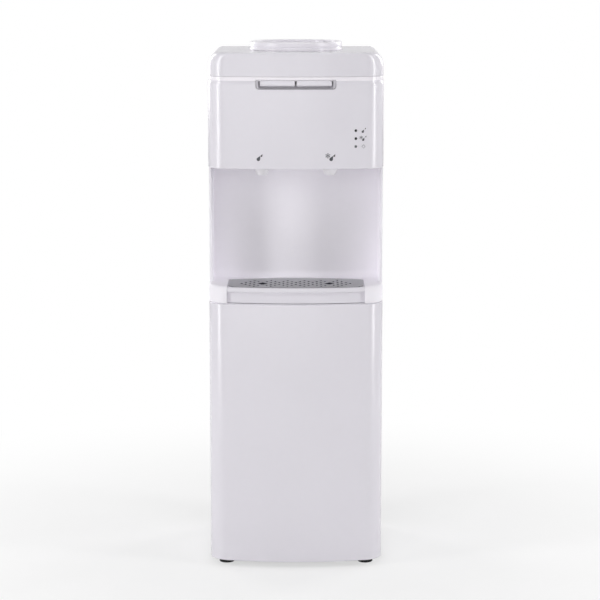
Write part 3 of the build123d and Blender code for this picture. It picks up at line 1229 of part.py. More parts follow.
def refrigerant_pipes():
    """Discharge pipe to the condenser, liquid line to the drier, capillary and suction pipe."""
    z = COMPRESSOR_BASE + PIPE_LEVEL_SHARE * COMPRESSOR_HEIGHT
    side = COMPRESSOR_RADIUS + GAP
    y_riser = CABINET_BACK - RISER_DEPTH
    end = RUN_HALF + GAP
    top = discharge_level()
    drier_top = DRIER_BASE + DRIER_LENGTH + GAP
    discharge = bent_tube([(side, COMPRESSOR_Y, z), (RISER_X, COMPRESSOR_Y, z), (RISER_X, y_riser, z),
                           (RISER_X, y_riser, top), (RISER_X, CONDENSER_Y, top), (end, CONDENSER_Y, top)],
                          PIPE_RADIUS, PIPE_BEND, HOSE_SIDES)
    liquid = bent_tube([(-end, CONDENSER_Y, CONDENSER_BASE), (-RISER_X, CONDENSER_Y, CONDENSER_BASE),
                        (-RISER_X, CONDENSER_Y, LIQUID_LEVEL), (-RISER_X, SEAT_Y, LIQUID_LEVEL),
                        (-RISER_X, SEAT_Y, DRIER_BASE - GAP)], PIPE_RADIUS, PIPE_BEND, HOSE_SIDES)
    level = capillary_level()
    capillary = bent_tube([(-RISER_X, SEAT_Y, drier_top), (-RISER_X, SEAT_Y, level),
                           (-coil_face(), SEAT_Y, level)], CAPILLARY_RADIUS, PIPE_BEND, HOSE_SIDES)
    x = -HALF + SUCTION_INSET
    suction = bent_tube([(-side, COMPRESSOR_Y, z), (x, COMPRESSOR_Y, z), (x, COMPRESSOR_Y, suction_level()),
                         (x, SEAT_Y, suction_level()), (-coil_face(), SEAT_Y, suction_level())],
                        PIPE_RADIUS, PIPE_BEND, HOSE_SIDES)
    return Compound([discharge.solid(), liquid.solid(), capillary.solid(), suction.solid()])


def capillary_level():
    """Level at which the capillary meets the lowest full turn of the coil."""
    return PORT_Z - COIL_PITCH


def suction_level():
    """Level at which the suction pipe leaves an upper turn of the coil."""
    return PORT_Z + 2 * COIL_PITCH


# ---------------------------------------------------------------- assembly

PIECES = {
    "base_plate": base_plate,
    "feet": feet,
    "left_side_panel": lambda: side_panel(-1),
    "right_side_panel": lambda: side_panel(1),
    "lower_front_panel": lower_front_panel,
    "dispensing_recess": dispensing_recess,
    "upper_front_panel": upper_front_panel,
    "top_cap": top_cap,
    "bottle_seat": bottle_seat,
    "bottle_probe": bottle_probe,
    "drip_tray": drip_tray,
    "drip_grille": drip_grille,
    "key_bezel": key_bezel,
    "key_hinge_pins": key_hinge_pins,
    "hot_key": lambda: tap_key(-1),
    "cold_key": lambda: tap_key(1),
    "hot_tap_body": lambda: tap_body(-1),
    "cold_tap_body": lambda: tap_body(1),
    "tap_bonnets": tap_bonnets,
    "hot_tap_plunger": lambda: tap_plunger(-1),
    "cold_tap_plunger": lambda: tap_plunger(1),
    "hot_tap_spring": lambda: tap_spring(-1),
    "cold_tap_spring": lambda: tap_spring(1),
    "hot_nozzle": lambda: nozzle(-1),
    "cold_nozzle": lambda: nozzle(1),
    "indicator_lights": indicator_lights,
    "control_board": control_board,
    "tank_shelf": tank_shelf,
    "cold_tank": cold_tank,
    "funnel_seal": funnel_seal,
    "tank_insulation": tank_insulation,
    "evaporator_coil": evaporator_coil,
    "hot_tank": hot_tank,
    "heater_band": heater_band,
    "thermostats": thermostats,
    "hot_tank_bracket": hot_tank_bracket,
    "water_hoses": water_hoses,
    "back_panel": back_panel,
    "switch_frame": switch_frame,
    "heating_switch": lambda: rocker(-1),
    "cooling_switch": lambda: rocker(1),
    "drain_spout": drain_spout,
    "drain_cap": drain_cap,
    "cord_gland": cord_gland,
    "condenser": condenser,
    "condenser_brackets": condenser_brackets,
    "compressor": compressor,
    "compressor_grommets": compressor_grommets,
    "start_relay": start_relay,
    "filter_drier": filter_drier,
    "refrigerant_pipes": refrigerant_pipes,
}

os.makedirs("parts", exist_ok=True)
for name, make in PIECES.items():
    piece = make()
    piece.label = name
    export_step(piece, "parts/" + name + ".step")
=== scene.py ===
import math

import bmesh
import bpy
from mathutils import Matrix, Vector


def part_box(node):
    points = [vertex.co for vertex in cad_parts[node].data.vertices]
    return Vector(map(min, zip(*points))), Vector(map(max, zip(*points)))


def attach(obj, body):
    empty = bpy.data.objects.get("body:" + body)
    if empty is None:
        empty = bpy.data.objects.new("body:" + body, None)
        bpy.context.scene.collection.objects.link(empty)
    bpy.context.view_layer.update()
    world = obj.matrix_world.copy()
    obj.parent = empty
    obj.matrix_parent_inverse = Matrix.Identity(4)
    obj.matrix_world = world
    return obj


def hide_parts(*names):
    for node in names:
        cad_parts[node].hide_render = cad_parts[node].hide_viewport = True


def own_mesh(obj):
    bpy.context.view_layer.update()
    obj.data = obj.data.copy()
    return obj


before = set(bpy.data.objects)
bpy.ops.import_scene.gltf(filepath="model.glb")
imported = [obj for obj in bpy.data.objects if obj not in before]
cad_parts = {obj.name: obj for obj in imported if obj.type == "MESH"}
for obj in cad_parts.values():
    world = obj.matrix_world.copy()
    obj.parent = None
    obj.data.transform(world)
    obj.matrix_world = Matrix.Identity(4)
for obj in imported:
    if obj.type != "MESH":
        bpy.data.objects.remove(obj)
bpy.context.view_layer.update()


# ---------------------------------------------------------------- camera, floor and light
# The cooler is seen from straight ahead and a little above, from about 4 m. It stands on pale
# paper in soft studio light: a narrow softbox on each side puts the upright highlight on each
# rounded corner, wide ones in front and above light the rest, and two light the back.

EYE = (0.0075, -3.965, 1.1172)
LOOK_DOWN = 0.1594          # radians below level
LENS = 126.7                # millimetres, on a sensor 36 mm wide

camera = bpy.data.objects.new("camera", bpy.data.cameras.new("camera"))
camera.location = EYE
camera.rotation_euler = (math.pi / 2 - LOOK_DOWN, 0, 0)
camera.data.lens = LENS
camera.data.sensor_width = 36
bpy.context.scene.collection.objects.link(camera)
bpy.context.scene.camera = camera
bpy.context.scene.view_settings.view_transform = "Standard"


class Field:
    """A value, colour or vector that varies over a surface: a node's output, which can be calculated with."""

    def __init__(self, tree, socket=None):
        self.tree = tree
        self.socket = socket

    def node(self, kind, settings=None, inputs=None, output=0):
        made = self.tree.nodes.new(kind)
        for key, value in (settings or {}).items():
            setattr(made, key, value)
        for key, value in (inputs or {}).items():
            if isinstance(value, Field):
                self.tree.links.new(value.socket, made.inputs[key])
            else:
                made.inputs[key].default_value = value
        return Field(self.tree, made.outputs[output])

    def combine(self, operation, other):
        kind = "ShaderNodeVectorMath" if self.socket.type == "VECTOR" else "ShaderNodeMath"
        return self.node(kind, {"operation": operation}, {0: self, 1: other})

    def __add__(self, other):
        return self.combine("ADD", other)

    def __mul__(self, other):
        return self.combine("MULTIPLY", other)

    def between(self, low, high, out_low=0.0, out_high=1.0):
        """The value eased from out_low to out_high while it goes from low to high."""
        inputs = {0: self, 1: low, 2: high, 3: out_low, 4: out_high}
        return self.node("ShaderNodeMapRange", {"interpolation_type": "SMOOTHSTEP"}, inputs)

    def tint(self, dark, light):
        """A colour that goes from dark at 0 to light at 1."""
        return self.node("ShaderNodeMix", {"data_type": "RGBA"}, {0: self, 6: (*dark, 1), 7: (*light, 1)}, 2)


def new_material(name):
    """An empty node material, its starting field and its output node."""
    material = bpy.data.materials.new(name)
    material.use_nodes = True
    material.node_tree.nodes.clear()
    return material, Field(material.node_tree), material.node_tree.nodes.new("ShaderNodeOutputMaterial")


def seen_by(tree):
    """Fields that are 1 for what the camera sees directly, in reflections and through clear pieces."""
    path = tree.nodes.new("ShaderNodeLightPath")
    return [Field(tree, path.outputs[f"Is {kind} Ray"]) for kind in ("Camera", "Glossy", "Transmission")]


FLOOR_RADIUS = 9.0
FADE_START = 0.25           # distance at which the paper starts to turn into white
FADE_END = 1.2

floor_mesh = bpy.data.meshes.new("floor")
turns = [math.tau * i / 96 for i in range(96)]
floor_edge = [(FLOOR_RADIUS * math.cos(a), FLOOR_RADIUS * math.sin(a), 0) for a in turns]
floor_mesh.from_pydata(floor_edge, [], [range(96)])
floor = bpy.data.objects.new("floor", floor_mesh)
bpy.context.scene.collection.objects.link(floor)
floor_material, field, out = new_material("pale_floor")
ground = field.node("ShaderNodeTexCoord", output=3)
grain = field.node("ShaderNodeTexNoise", None, {"Vector": ground, "Scale": 6.0, "Detail": 3.0})
shade = grain.between(0.3, 0.7).tint((0.87, 0.87, 0.87), (0.90, 0.90, 0.90))
paper = field.node("ShaderNodeBsdfPrincipled", None, {"Base Color": shade, "Roughness": 0.85})
white = field.node("ShaderNodeEmission", None, {"Color": (1, 1, 1, 1), "Strength": 1.0})
distance = field.node("ShaderNodeVectorMath", {"operation": "LENGTH"}, {0: ground}, 1)
far = distance.between(FADE_START, FADE_END, 0.6, 1.0)
mixed = field.node("ShaderNodeMixShader", None, {0: far * seen_by(field.tree)[0], 1: paper, 2: white})
field.tree.links.new(mixed.socket, out.inputs["Surface"])
floor.data.materials.append(floor_material)

world = bpy.data.worlds.new("studio")
world.use_nodes = True
world.node_tree.nodes.clear()
bpy.context.scene.world = world
field = Field(world.node_tree)
direct, reflected, through = seen_by(field.tree)
shown = direct * 0.94 + (reflected + through) * 0.74 + 0.06
sky = field.node("ShaderNodeBackground", None, {"Color": (1, 1, 1, 1), "Strength": shown})
field.tree.links.new(sky.socket, world.node_tree.nodes.new("ShaderNodeOutputWorld").inputs["Surface"])


def softbox(name, place, aim_height, width, height, watts):
    """Square lamp that looks at the cooler's axis at a height."""
    lamp = bpy.data.lights.new(name, "AREA")
    lamp.shape = "RECTANGLE"
    lamp.size = width
    lamp.size_y = height
    lamp.energy = watts
    stand = bpy.data.objects.new(name, lamp)
    stand.location = place
    stand.rotation_euler = (Vector((0, 0, aim_height)) - Vector(place)).to_track_quat("-Z", "Y").to_euler()
    bpy.context.scene.collection.objects.link(stand)


softbox("softbox_front", (-0.8, -4.3, 1.2), 0.55, 3.4, 2.4, 31)
softbox("softbox_high", (-0.2, -2.0, 3.4), 0.6, 1.8, 0.8, 15)
softbox("softbox_top", (0.0, 0.3, 3.0), 0.9, 1.2, 1.0, 13)
softbox("softbox_left", (-2.45, -1.25, 1.15), 0.5, 0.5, 2.2, 36)
softbox("softbox_right", (2.54, -1.05, 1.15), 0.5, 0.45, 2.2, 36)
softbox("softbox_rear_left", (-2.0, 2.3, 1.5), 0.5, 1.0, 1.8, 30)
softbox("softbox_rear_right", (2.2, 2.1, 1.7), 0.5, 1.0, 1.8, 28)


# ---------------------------------------------------------------- base plate and feet
# Pressed and painted steel floor plate on four levelling feet: ribbed rubber pads with a steel
# stud. The pads just show under the front panel.

def finish(name, tone, roughness, mottle=0.02, relief=(900, 0.00004), spread=0.05, stretch=(1, 1, 1),
           metallic=0.0, coat=0.0, cells=False, specular=0.5):
    """Material of a moulded, painted or plated surface: a cloudy tone (in 8-bit screen values, brighter and
    darker by mottle), a gloss that varies by spread and a fine relief (scale, depth), all from noise, or
    from crystal cells."""
    tone = [((v / 255 + 0.055) / 1.055) ** 2.4 for v in tone]
    material, field, out = new_material(name)
    where = field.node("ShaderNodeTexCoord", output=3) * stretch
    cloud = field.node("ShaderNodeTexNoise", None, {"Vector": where, "Scale": 7.0, "Detail": 4.0})
    fleck = field.node("ShaderNodeTexNoise", None, {"Vector": where, "Scale": 90.0, "Detail": 5.0})
    uneven = (cloud * 0.7 + fleck * 0.3).between(0.3, 0.7)
    dark = [v * (1 - mottle) for v in tone]
    light = [min(1.0, v * (1 + mottle)) for v in tone]
    scale, depth = relief
    if cells:
        grain = field.node("ShaderNodeTexVoronoi", None, {"Vector": where, "Scale": scale})
        uneven = (uneven + grain.between(0.1, 0.7)) * 0.5
    else:
        grain = field.node("ShaderNodeTexNoise", None, {"Vector": where, "Scale": scale, "Detail": 2.0})
    gloss = (cloud * 0.5 + fleck * 0.5).between(0.3, 0.7, roughness - spread / 2, roughness + spread / 2)
    bump = field.node("ShaderNodeBump", None, {"Strength": 1.0, "Distance": depth, "Height": grain})
    inputs = {"Base Color": uneven.tint(dark, light), "Roughness": gloss, "Metallic": metallic,
              "Normal": bump, "Coat Weight": coat, "Coat Roughness": 0.08, "Specular IOR Level": specular}
    surface = field.node("ShaderNodeBsdfPrincipled", None, inputs)
    field.tree.links.new(surface.socket, out.inputs["Surface"])
    return material


def dress(paint, *nodes):
    """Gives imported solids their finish."""
    for node in nodes:
        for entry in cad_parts[node].material_slots:
            entry.material = paint


def piece(name, mesh, paint, body, smooth=35, stands_for=()):
    """Puts a mesh in the scene with its finish, on the body that carries it, for the solids it stands for."""
    made = bpy.data.objects.new(name, mesh)
    bpy.context.scene.collection.objects.link(made)
    mesh.materials.clear()
    mesh.materials.append(paint)
    mesh.shade_smooth()
    mesh.set_sharp_from_angle(angle=math.radians(smooth))
    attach(made, body)
    if stands_for:
        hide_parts(*stands_for)
        dress(paint, *stands_for)
    return made


def outward(mesh):
    """The mesh with all its faces turned outwards."""
    shape = bmesh.new()
    shape.from_mesh(mesh)
    bmesh.ops.recalc_face_normals(shape, faces=shape.faces)
    shape.to_mesh(mesh)
    shape.free()
    return mesh


def skin(rows, ring=True, loop=False, ends=True):
    """Mesh over rows of points: ring joins each row's ends, loop joins the last row to the first."""
    count = len(rows[0])
    faces = []
    for i in range(len(rows) if loop else len(rows) - 1):
        low, high = i * count, (i + 1) % len(rows) * count
        for j in range(count if ring else count - 1):
            after = (j + 1) % count
            faces.append((low + j, low + after, high + after, high + j))
    if ends and ring and not loop:
        faces += [tuple(reversed(range(count))), tuple(range((len(rows) - 1) * count, len(rows) * count))]
    if ends and loop and not ring:
        faces += [tuple(i * count for i in range(len(rows))),
                  tuple(i * count + count - 1 for i in reversed(range(len(rows))))]
    mesh = bpy.data.meshes.new("skin")
    mesh.from_pydata([point for row in rows for point in row], [], faces)
    return outward(mesh)


def turned(profile, centre, axis="Z", steps=48, closed=False):
    """Mesh turned about an axis through (radius, height) points; ends on the axis are closed."""
    rows = []
    for radius, height in profile:
        row = []
        for i in range(steps):
            a = math.tau * i / steps
            u, v = radius * math.cos(a), radius * math.sin(a)
            row.append({"Z": (u, v, height), "Y": (u, height, v), "X": (height, u, v)}[axis])
        rows.append([tuple(Vector(point) + Vector(centre)) for point in row])
    return skin(rows, loop=closed, ends=not closed)


def rounded(corners, steps=6, closed=True):
    """Points of a flat line whose corners (u, v, radius) are rounded."""
    points = []
    for i, (u, v, *radius) in enumerate(corners):
        here = Vector((u, v))
        if not radius or not radius[0] or (not closed and i in (0, len(corners) - 1)):
            points.append((u, v))
            continue
        before = (Vector(corners[i - 1][:2]) - here).normalized()
        after = (Vector(corners[(i + 1) % len(corners)][:2]) - here).normalized()
        half = before.angle(after) / 2
        centre = here + (before + after).normalized() * radius[0] / math.sin(half)
        start = here + before * radius[0] / math.tan(half) - centre
        end = here + after * radius[0] / math.tan(half) - centre
        turn = start.angle_signed(end)
        for step in range(steps + 1):
            a = -turn * step / steps
            points.append((centre.x + start.x * math.cos(a) - start.y * math.sin(a),
                           centre.y + start.x * math.sin(a) + start.y * math.cos(a)))
    return points


FOOT_RADIUS = 0.014
FOOT_NECK = 0.0112
STUD_RADIUS = 0.004
STUD_TOP = 0.0228
FOOT_PLACES = [(-0.13, -0.112), (0.13, -0.112), (-0.13, 0.117), (0.13, 0.117)]

painted_steel = finish("painted_steel", (150, 152, 155), 0.45, 0.05, (600, 0.00005), 0.1)
foot_rubber = finish("rubber_feet", (38, 38, 40), 0.75, 0.12, (1500, 0.00006), 0.1)
dress(painted_steel, "base_plate")
pad = rounded([(0.0105, 0.0), (FOOT_RADIUS, 0.0, 0.0015), (FOOT_RADIUS, 0.005, 0.0008),
               (FOOT_NECK, 0.0065, 0.0008), (FOOT_NECK, 0.0146), (STUD_RADIUS, 0.0146),
               (STUD_RADIUS, STUD_TOP)], 4, closed=False)
for i, place in enumerate(FOOT_PLACES):
    foot = turned(pad, (*place, 0), steps=40)
    piece(f"foot_{i + 1}", foot, foot_rubber, "cabinet", 30, ["feet"])


# ---------------------------------------------------------------- side sheets
# Two plain steel sheets, 1 mm thick and powder-coated white, folded in at the back. They carry
# the front mouldings, the cap and the back sheet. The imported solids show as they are.

WHITE = (232, 229, 236)

side_sheet = finish("side_sheet", WHITE, 0.34, 0.01, (700, 0.00003), 0.05)
dress(side_sheet, "left_side_panel", "right_side_panel")


# ---------------------------------------------------------------- lower front panel
# One large plain ABS moulding, 2.5 mm thick, bowed across (radius 570 mm) with 40 mm corners and
# turned-in edges. It is clipped to the side sheets and reaches from the feet to the tray band,
# behind which a tongue closes the seam.

FRONT = -0.165
HALF_WIDTH = 0.16
BOW = 0.57
BOW_CENTRE = FRONT + BOW
CORNER = 0.04
WALL = 0.0025
FLANGE = 0.012              # reach of the turned-in edges
SHEET_FRONT = -0.0863       # where the mouldings end at the side sheets
PANEL_FOOT = 0.012
PANEL_TOP = 0.496
TONGUE_TOP = 0.4976


def front_line(y_back, inset=0.0, half=HALF_WIDTH, corner=CORNER):
    """Plan points of the bowed front from the left rear round to the right rear, moved in by inset."""
    x_centre = half - corner
    reach = BOW - corner
    turn = math.asin(x_centre / reach)
    y_centre = BOW_CENTRE - reach * math.cos(turn)
    right = []
    for i in range(14):
        a = turn * i / 14
        right.append(((BOW - inset) * math.sin(a), BOW_CENTRE - (BOW - inset) * math.cos(a)))
    for i in range(17):
        a = turn + (math.pi / 2 - turn) * i / 16
        right.append((x_centre + (corner - inset) * math.sin(a), y_centre - (corner - inset) * math.cos(a)))
    right.append((half - inset, y_back))
    return [(-x, y) for x, y in reversed(right)][:-1] + right


def moulding(profile, y_back):
    """Mesh of a closed (inset, level) profile led round the bowed front."""
    rows = [[(x, y, z) for x, y in front_line(y_back, inset)] for inset, z in profile]
    return skin(rows, ring=False, loop=True)


white_gloss = finish("white_gloss", WHITE, 0.22, 0.008, (1400, 0.000012), 0.04)
lower = rounded([(0, PANEL_FOOT, 0.0014), (0, PANEL_TOP, 0.0012), (0.0032, PANEL_TOP), (0.0032, TONGUE_TOP),
                 (FLANGE, TONGUE_TOP), (FLANGE, PANEL_TOP - WALL), (WALL, PANEL_TOP - WALL),
                 (WALL, PANEL_FOOT + WALL), (FLANGE, PANEL_FOOT + WALL), (FLANGE, PANEL_FOOT)])
piece("lower_panel_moulding", moulding(lower, SHEET_FRONT), white_gloss, "cabinet",
      stands_for=["lower_front_panel"])


# ---------------------------------------------------------------- dispensing recess
# One white ABS moulding: the back-splash with softly rounded foot and corners, the two cheeks, and
# the shelf whose 5 mm rounded shoulders flank the drip tray. The tray slides in a pocket in it.

BAND_FOOT = 0.4978
SHELF = 0.5298
SHOULDER = 0.005            # rounding of the shelf's front edge
RECESS_TOP = 0.7443
CHEEK = 0.1562              # inner faces of the cheeks
SPLASH = -0.032             # face of the back-splash
SPLASH_BLEND = 0.014
CHEEK_BLEND = 0.004
SPLASH_CORNER = 0.0045
BEFORE = -0.18              # in front of everything, for cuts
TRAY_HALF = 0.126
TRAY_BACK_RADIUS = 0.42
TRAY_BACK_CENTRE = -0.462
TRAY_GAP = 0.0003


def blocks(boxes, bevel=0.0):
    """Mesh of rectangular blocks (low corner, high corner) with bevelled edges."""
    shape = bmesh.new()
    for low, high in boxes:
        low, high = Vector(low), Vector(high)
        matrix = Matrix.Translation((low + high) / 2) @ Matrix.Diagonal((*(high - low), 1))
        bmesh.ops.create_cube(shape, size=1, matrix=matrix)
    if bevel:
        bmesh.ops.bevel(shape, geom=shape.edges[:], offset=bevel, segments=2, profile=0.6, affect="EDGES")
    mesh = bpy.data.meshes.new("blocks")
    shape.to_mesh(mesh)
    shape.free()
    return mesh


def carved(mesh, *cutters, operation="DIFFERENCE"):
    """The mesh with other closed meshes cut out of it, or joined to it."""
    base = bpy.data.objects.new("base", mesh)
    tools = [bpy.data.objects.new("tool", cutter) for cutter in cutters]
    for item in (base, *tools):
        bpy.context.scene.collection.objects.link(item)
    for tool in tools:
        cut = base.modifiers.new("cut", "BOOLEAN")
        cut.object = tool
        cut.operation = operation
        cut.solver = "EXACT"
    result = bpy.data.meshes.new_from_object(base.evaluated_get(bpy.context.evaluated_depsgraph_get()))
    for item in (base, *tools):
        bpy.data.objects.remove(item)
    return result


def bow_y(x, inset=0.0):
    """Depth of the bowed front at a place across it."""
    return BOW_CENTRE - math.sqrt((BOW - inset) ** 2 - x**2)


def tray_line(inset, front_inset, corner):
    """Plan loop of the tray: bowed front, straight sides and a back edge bowed the other way."""
    half = TRAY_HALF - inset
    back = TRAY_BACK_RADIUS - inset
    across = [half * t / 10 for t in range(-10, 11)]
    if corner:
        points = front_line(-0.06, front_inset, half + front_inset, corner + front_inset)[1:-1]
    else:
        points = [(x, bow_y(x, front_inset)) for x in across]
    return points + [(x, TRAY_BACK_CENTRE + math.sqrt(back**2 - x**2)) for x in reversed(across)]


def level_rows(loop, *levels):
    """The plan loop at each level."""
    return [[(x, y, z) for x, y in loop] for z in levels]


recess_white = finish("recess_white", (247, 244, 250), 0.6, 0.01, (1400, 0.000015), 0.05, specular=0.35)
band = rounded([(0.02, BAND_FOOT), (0, BAND_FOOT, 0.001), (0, SHELF, SHOULDER), (0.02, SHELF)], 8, False)
band_mesh = skin([[(x, y, z) for x, y in front_line(SHEET_FRONT, inset)] for inset, z in band[1:-1]])
core = blocks([((-0.1587, SHEET_FRONT - 0.0002, BAND_FOOT), (0.1587, -0.0295, RECESS_TOP))])
cheek_bead = blocks([((-HALF_WIDTH, -0.0879, 0.5288), (HALF_WIDTH, SHEET_FRONT, RECESS_TOP))])
recess = carved(band_mesh, core, cheek_bead, operation="UNION")
room_rows = []
for step in range(9):
    a = math.pi / 2 * step / 8
    rise = 1 - math.cos(a)
    slope = 1 - math.sin(a)
    x, y = CHEEK - CHEEK_BLEND * slope, SPLASH - SPLASH_BLEND * slope
    corners = [(-x, BEFORE), (x, BEFORE), (x, y, SPLASH_CORNER), (-x, y, SPLASH_CORNER)]
    room_rows.append([(u, v, SHELF + SPLASH_BLEND * rise) for u, v in rounded(corners, 8)])
room_rows.append([(x, y, 0.8) for x, y, z in room_rows[-1]])
pocket = skin(level_rows(tray_line(-TRAY_GAP, -0.004, 0), 0.5003, 0.56))
mouth_half = TRAY_HALF + TRAY_GAP
mouth = blocks([((-mouth_half, BEFORE, 0.48), (mouth_half, -0.143, 0.56))])
recess = carved(recess, skin(room_rows), pocket, mouth)
piece("recess_moulding", recess, recess_white, "cabinet", 32, ["dispensing_recess"])


# ---------------------------------------------------------------- head panel
# Glossy ABS cover over the taps, 2.5 mm thick, with a rounded top edge, a notch for the keys, and
# a floor that carries the taps and roofs the recess.

HEAD_FOOT = 0.7448
HEAD_TOP = 0.9058
HEAD_FLOOR_HALF = 0.1559
HEAD_FLOOR_BACK = -0.0323
NOTCH_HALF = 0.0726
NOTCH_FOOT = 0.8881


def join(*meshes):
    """One mesh out of several, which are used up."""
    shape = bmesh.new()
    for mesh in meshes:
        shape.from_mesh(mesh)
        bpy.data.meshes.remove(mesh)
    joined = bpy.data.meshes.new("joined")
    shape.to_mesh(joined)
    shape.free()
    return joined


head = rounded([(0, HEAD_FOOT, 0.0016), (0, 0.8975, 0.010), (0.0026, HEAD_TOP, 0.0010), (FLANGE, HEAD_TOP),
                (FLANGE, HEAD_TOP - WALL), (WALL, HEAD_TOP - WALL), (WALL, HEAD_FOOT + WALL),
                (FLANGE, HEAD_FOOT + WALL), (FLANGE, HEAD_FOOT)])
notch = rounded([(-NOTCH_HALF, NOTCH_FOOT, 0.006), (NOTCH_HALF, NOTCH_FOOT, 0.006), (NOTCH_HALF, 0.93),
                 (-NOTCH_HALF, 0.93)], 8)
notch_mesh = skin([[(x, y, z) for x, z in notch] for y in (BEFORE, -0.135)])
head_mesh = carved(moulding(head, SHEET_FRONT), notch_mesh)
floor_line = front_line(SHEET_FRONT, 0.004)
floor_line += rounded([(HEAD_FLOOR_HALF, SHEET_FRONT), (HEAD_FLOOR_HALF, HEAD_FLOOR_BACK, 0.006),
                       (-HEAD_FLOOR_HALF, HEAD_FLOOR_BACK, 0.006), (-HEAD_FLOOR_HALF, SHEET_FRONT)], 6, False)
head_mesh = join(head_mesh, skin(level_rows(floor_line, HEAD_FOOT, HEAD_FOOT + WALL)))
piece("head_moulding", head_mesh, white_gloss, "cabinet", 32, ["upper_front_panel"])


# ---------------------------------------------------------------- top cap
# White moulded cap over the head, 0.8 mm inside its outline but for the bead round the lower
# edge. Its long side edges are rounded over the top 25 mm, the others by 3.5 mm.

CAP_INSET = 0.0008
CAP_BACK = 0.1462
CAP_TOP = 0.9540
TOP_EDGE = 0.0035
BEAD_FOOT = 0.9036
BEAD_TOP = 0.9118
CAP_SIDE = 0.1592
SHOULDER_FOOT = 0.929
SHOULDER_RISE = 0.0256
SHOULDER_REACH = 0.0205
SEAT_Y = -0.015             # axis of the bottle seat
CAP_HOLE = 0.0782

cap_gloss = finish("cap_gloss", (230, 227, 234), 0.24, 0.008, (1400, 0.000012), 0.04)
# The bead's near-white tone is a painted highlight: the bead belongs to the cap's white moulding, and its
# brightness stands in for the light it catches from above.
bead_painted_highlight = finish("bead_painted_highlight", (252, 248, 254), 0.2, 0.006, (1400, 0.000012), 0.04)
bead = rounded([(FLANGE, BEAD_TOP), (0.0009, BEAD_TOP, 0.0026), (0.0011, BEAD_FOOT, 0.0005),
                (FLANGE, BEAD_FOOT)], 7)
piece("cap_lip", moulding(bead, 0.147), bead_painted_highlight, "cabinet", 50)
cap_rows = [[(x, y, z) for x, y in front_line(CAP_BACK, CAP_INSET)] for z in (0.9112, BEAD_TOP)]
wall_top = CAP_TOP - TOP_EDGE
levels = [(0, BEAD_TOP + (wall_top - BEAD_TOP) * i / 14) for i in range(1, 15)]
levels += [(math.pi / 2 * i / 7, wall_top + TOP_EDGE * math.sin(math.pi / 2 * i / 7)) for i in range(1, 8)]
for a, z in levels:
    edge = TOP_EDGE * (1 - math.cos(a))
    climb = max(0.0, z - SHOULDER_FOOT) / SHOULDER_RISE
    side = CAP_SIDE - SHOULDER_REACH * (1 - math.sqrt(1 - climb**2))
    inset = CAP_INSET + edge
    row = front_line(CAP_BACK - edge, inset, side + inset - edge * 0.6)
    cap_rows.append([(x, y, z) for x, y in row])
cap_mesh = skin(cap_rows, ends=False)
shape = bmesh.new()
shape.from_mesh(cap_mesh)
turns = [math.tau * i / 72 for i in range(72)]
hole = [shape.verts.new((CAP_HOLE * math.cos(a), SEAT_Y + CAP_HOLE * math.sin(a), CAP_TOP)) for a in turns]
rim = [shape.edges.new((hole[i - 1], hole[i])) for i in range(72)]
outline = [edge for edge in shape.edges
           if edge.is_boundary and all(abs(end.co.z - CAP_TOP) < 1e-6 for end in edge.verts)]
bmesh.ops.triangle_fill(shape, use_beauty=True, edges=rim + outline)
shape.to_mesh(cap_mesh)
shape.free()
piece("cap_moulding", outward(cap_mesh), cap_gloss, "cabinet", 32, ["top_cap"])


# ---------------------------------------------------------------- bottle seat
# Lift-out moulding that takes the bottle: rolled collar with a shadow groove under it, guide
# bore, funnel, spigot and the slotted probe that opens the bottle's stopper. A rubber ring
# seals the spigot in the cold tank's neck.

COLLAR_TOP = 0.9700
COLLAR_BORE = 0.0750
COLLAR_FOOT = 0.9543
SPIGOT_FOOT = 0.8850
SPIGOT_BORE = 0.0175
SPIGOT_RADIUS = 0.0200
PROBE_FOOT = 0.9076
PROBE_TOP = 0.9416
SLOT_MIDDLE = 0.9209

seat_white = finish("seat_white", (246, 243, 249), 0.3, 0.008, (1400, 0.000012), 0.04)
seal_rubber = finish("seal_rubber", (200, 198, 194), 0.65, 0.05, (1500, 0.00005), 0.1)
seat_line = rounded([(SPIGOT_BORE, SPIGOT_FOOT), (SPIGOT_BORE, 0.9075), (0.0240, 0.9075, 0.002),
                     (COLLAR_BORE, 0.9480, 0.003), (COLLAR_BORE, COLLAR_TOP, 0.0022),
                     (0.0852, COLLAR_TOP, 0.0030), (0.0857, 0.9618, 0.0010), (0.0845, 0.9610, 0.0006),
                     (0.0845, 0.9590, 0.0006), (0.0858, 0.9582, 0.0006), (0.0860, COLLAR_FOOT),
                     (0.0775, COLLAR_FOOT), (0.0775, 0.9480, 0.003), (0.0240, 0.9050, 0.002),
                     (SPIGOT_RADIUS, 0.9050), (SPIGOT_RADIUS, SPIGOT_FOOT)], 6)
collar = turned(seat_line, (0, SEAT_Y, 0), steps=96, closed=True)
piece("seat_collar", collar, seat_white, "bottle_seat", 32, ["bottle_seat"])
probe_line = rounded([(0.0220, PROBE_FOOT), (0.0220, 0.9096, 0.0006), (0.0152, 0.9096, 0.001),
                      (0.0142, 0.9376, 0.002), (0.0100, PROBE_TOP, 0.002), (0.0, PROBE_TOP)], 5, False)
probe_line += [(0.0, 0.9396), (0.0090, 0.9396), (0.0120, 0.9366), (0.0130, PROBE_FOOT)]
opening = rounded([(-0.0025, -0.0085, 0.0022), (0.0025, -0.0085, 0.0022), (0.0025, 0.0085, 0.0022),
                   (-0.0025, 0.0085, 0.0022)], 5)
openings = [skin([[(u, y + SEAT_Y, v + SLOT_MIDDLE) for u, v in opening] for y in (-0.03, 0.03)]),
            skin([[(x, u + SEAT_Y, v + SLOT_MIDDLE) for u, v in opening] for x in (-0.03, 0.03)])]
probe = carved(turned(probe_line, (0, SEAT_Y, 0), steps=48), *openings)
piece("seat_probe", probe, cap_gloss, "bottle_seat", 32, ["bottle_probe"])
dress(seal_rubber, "funnel_seal")
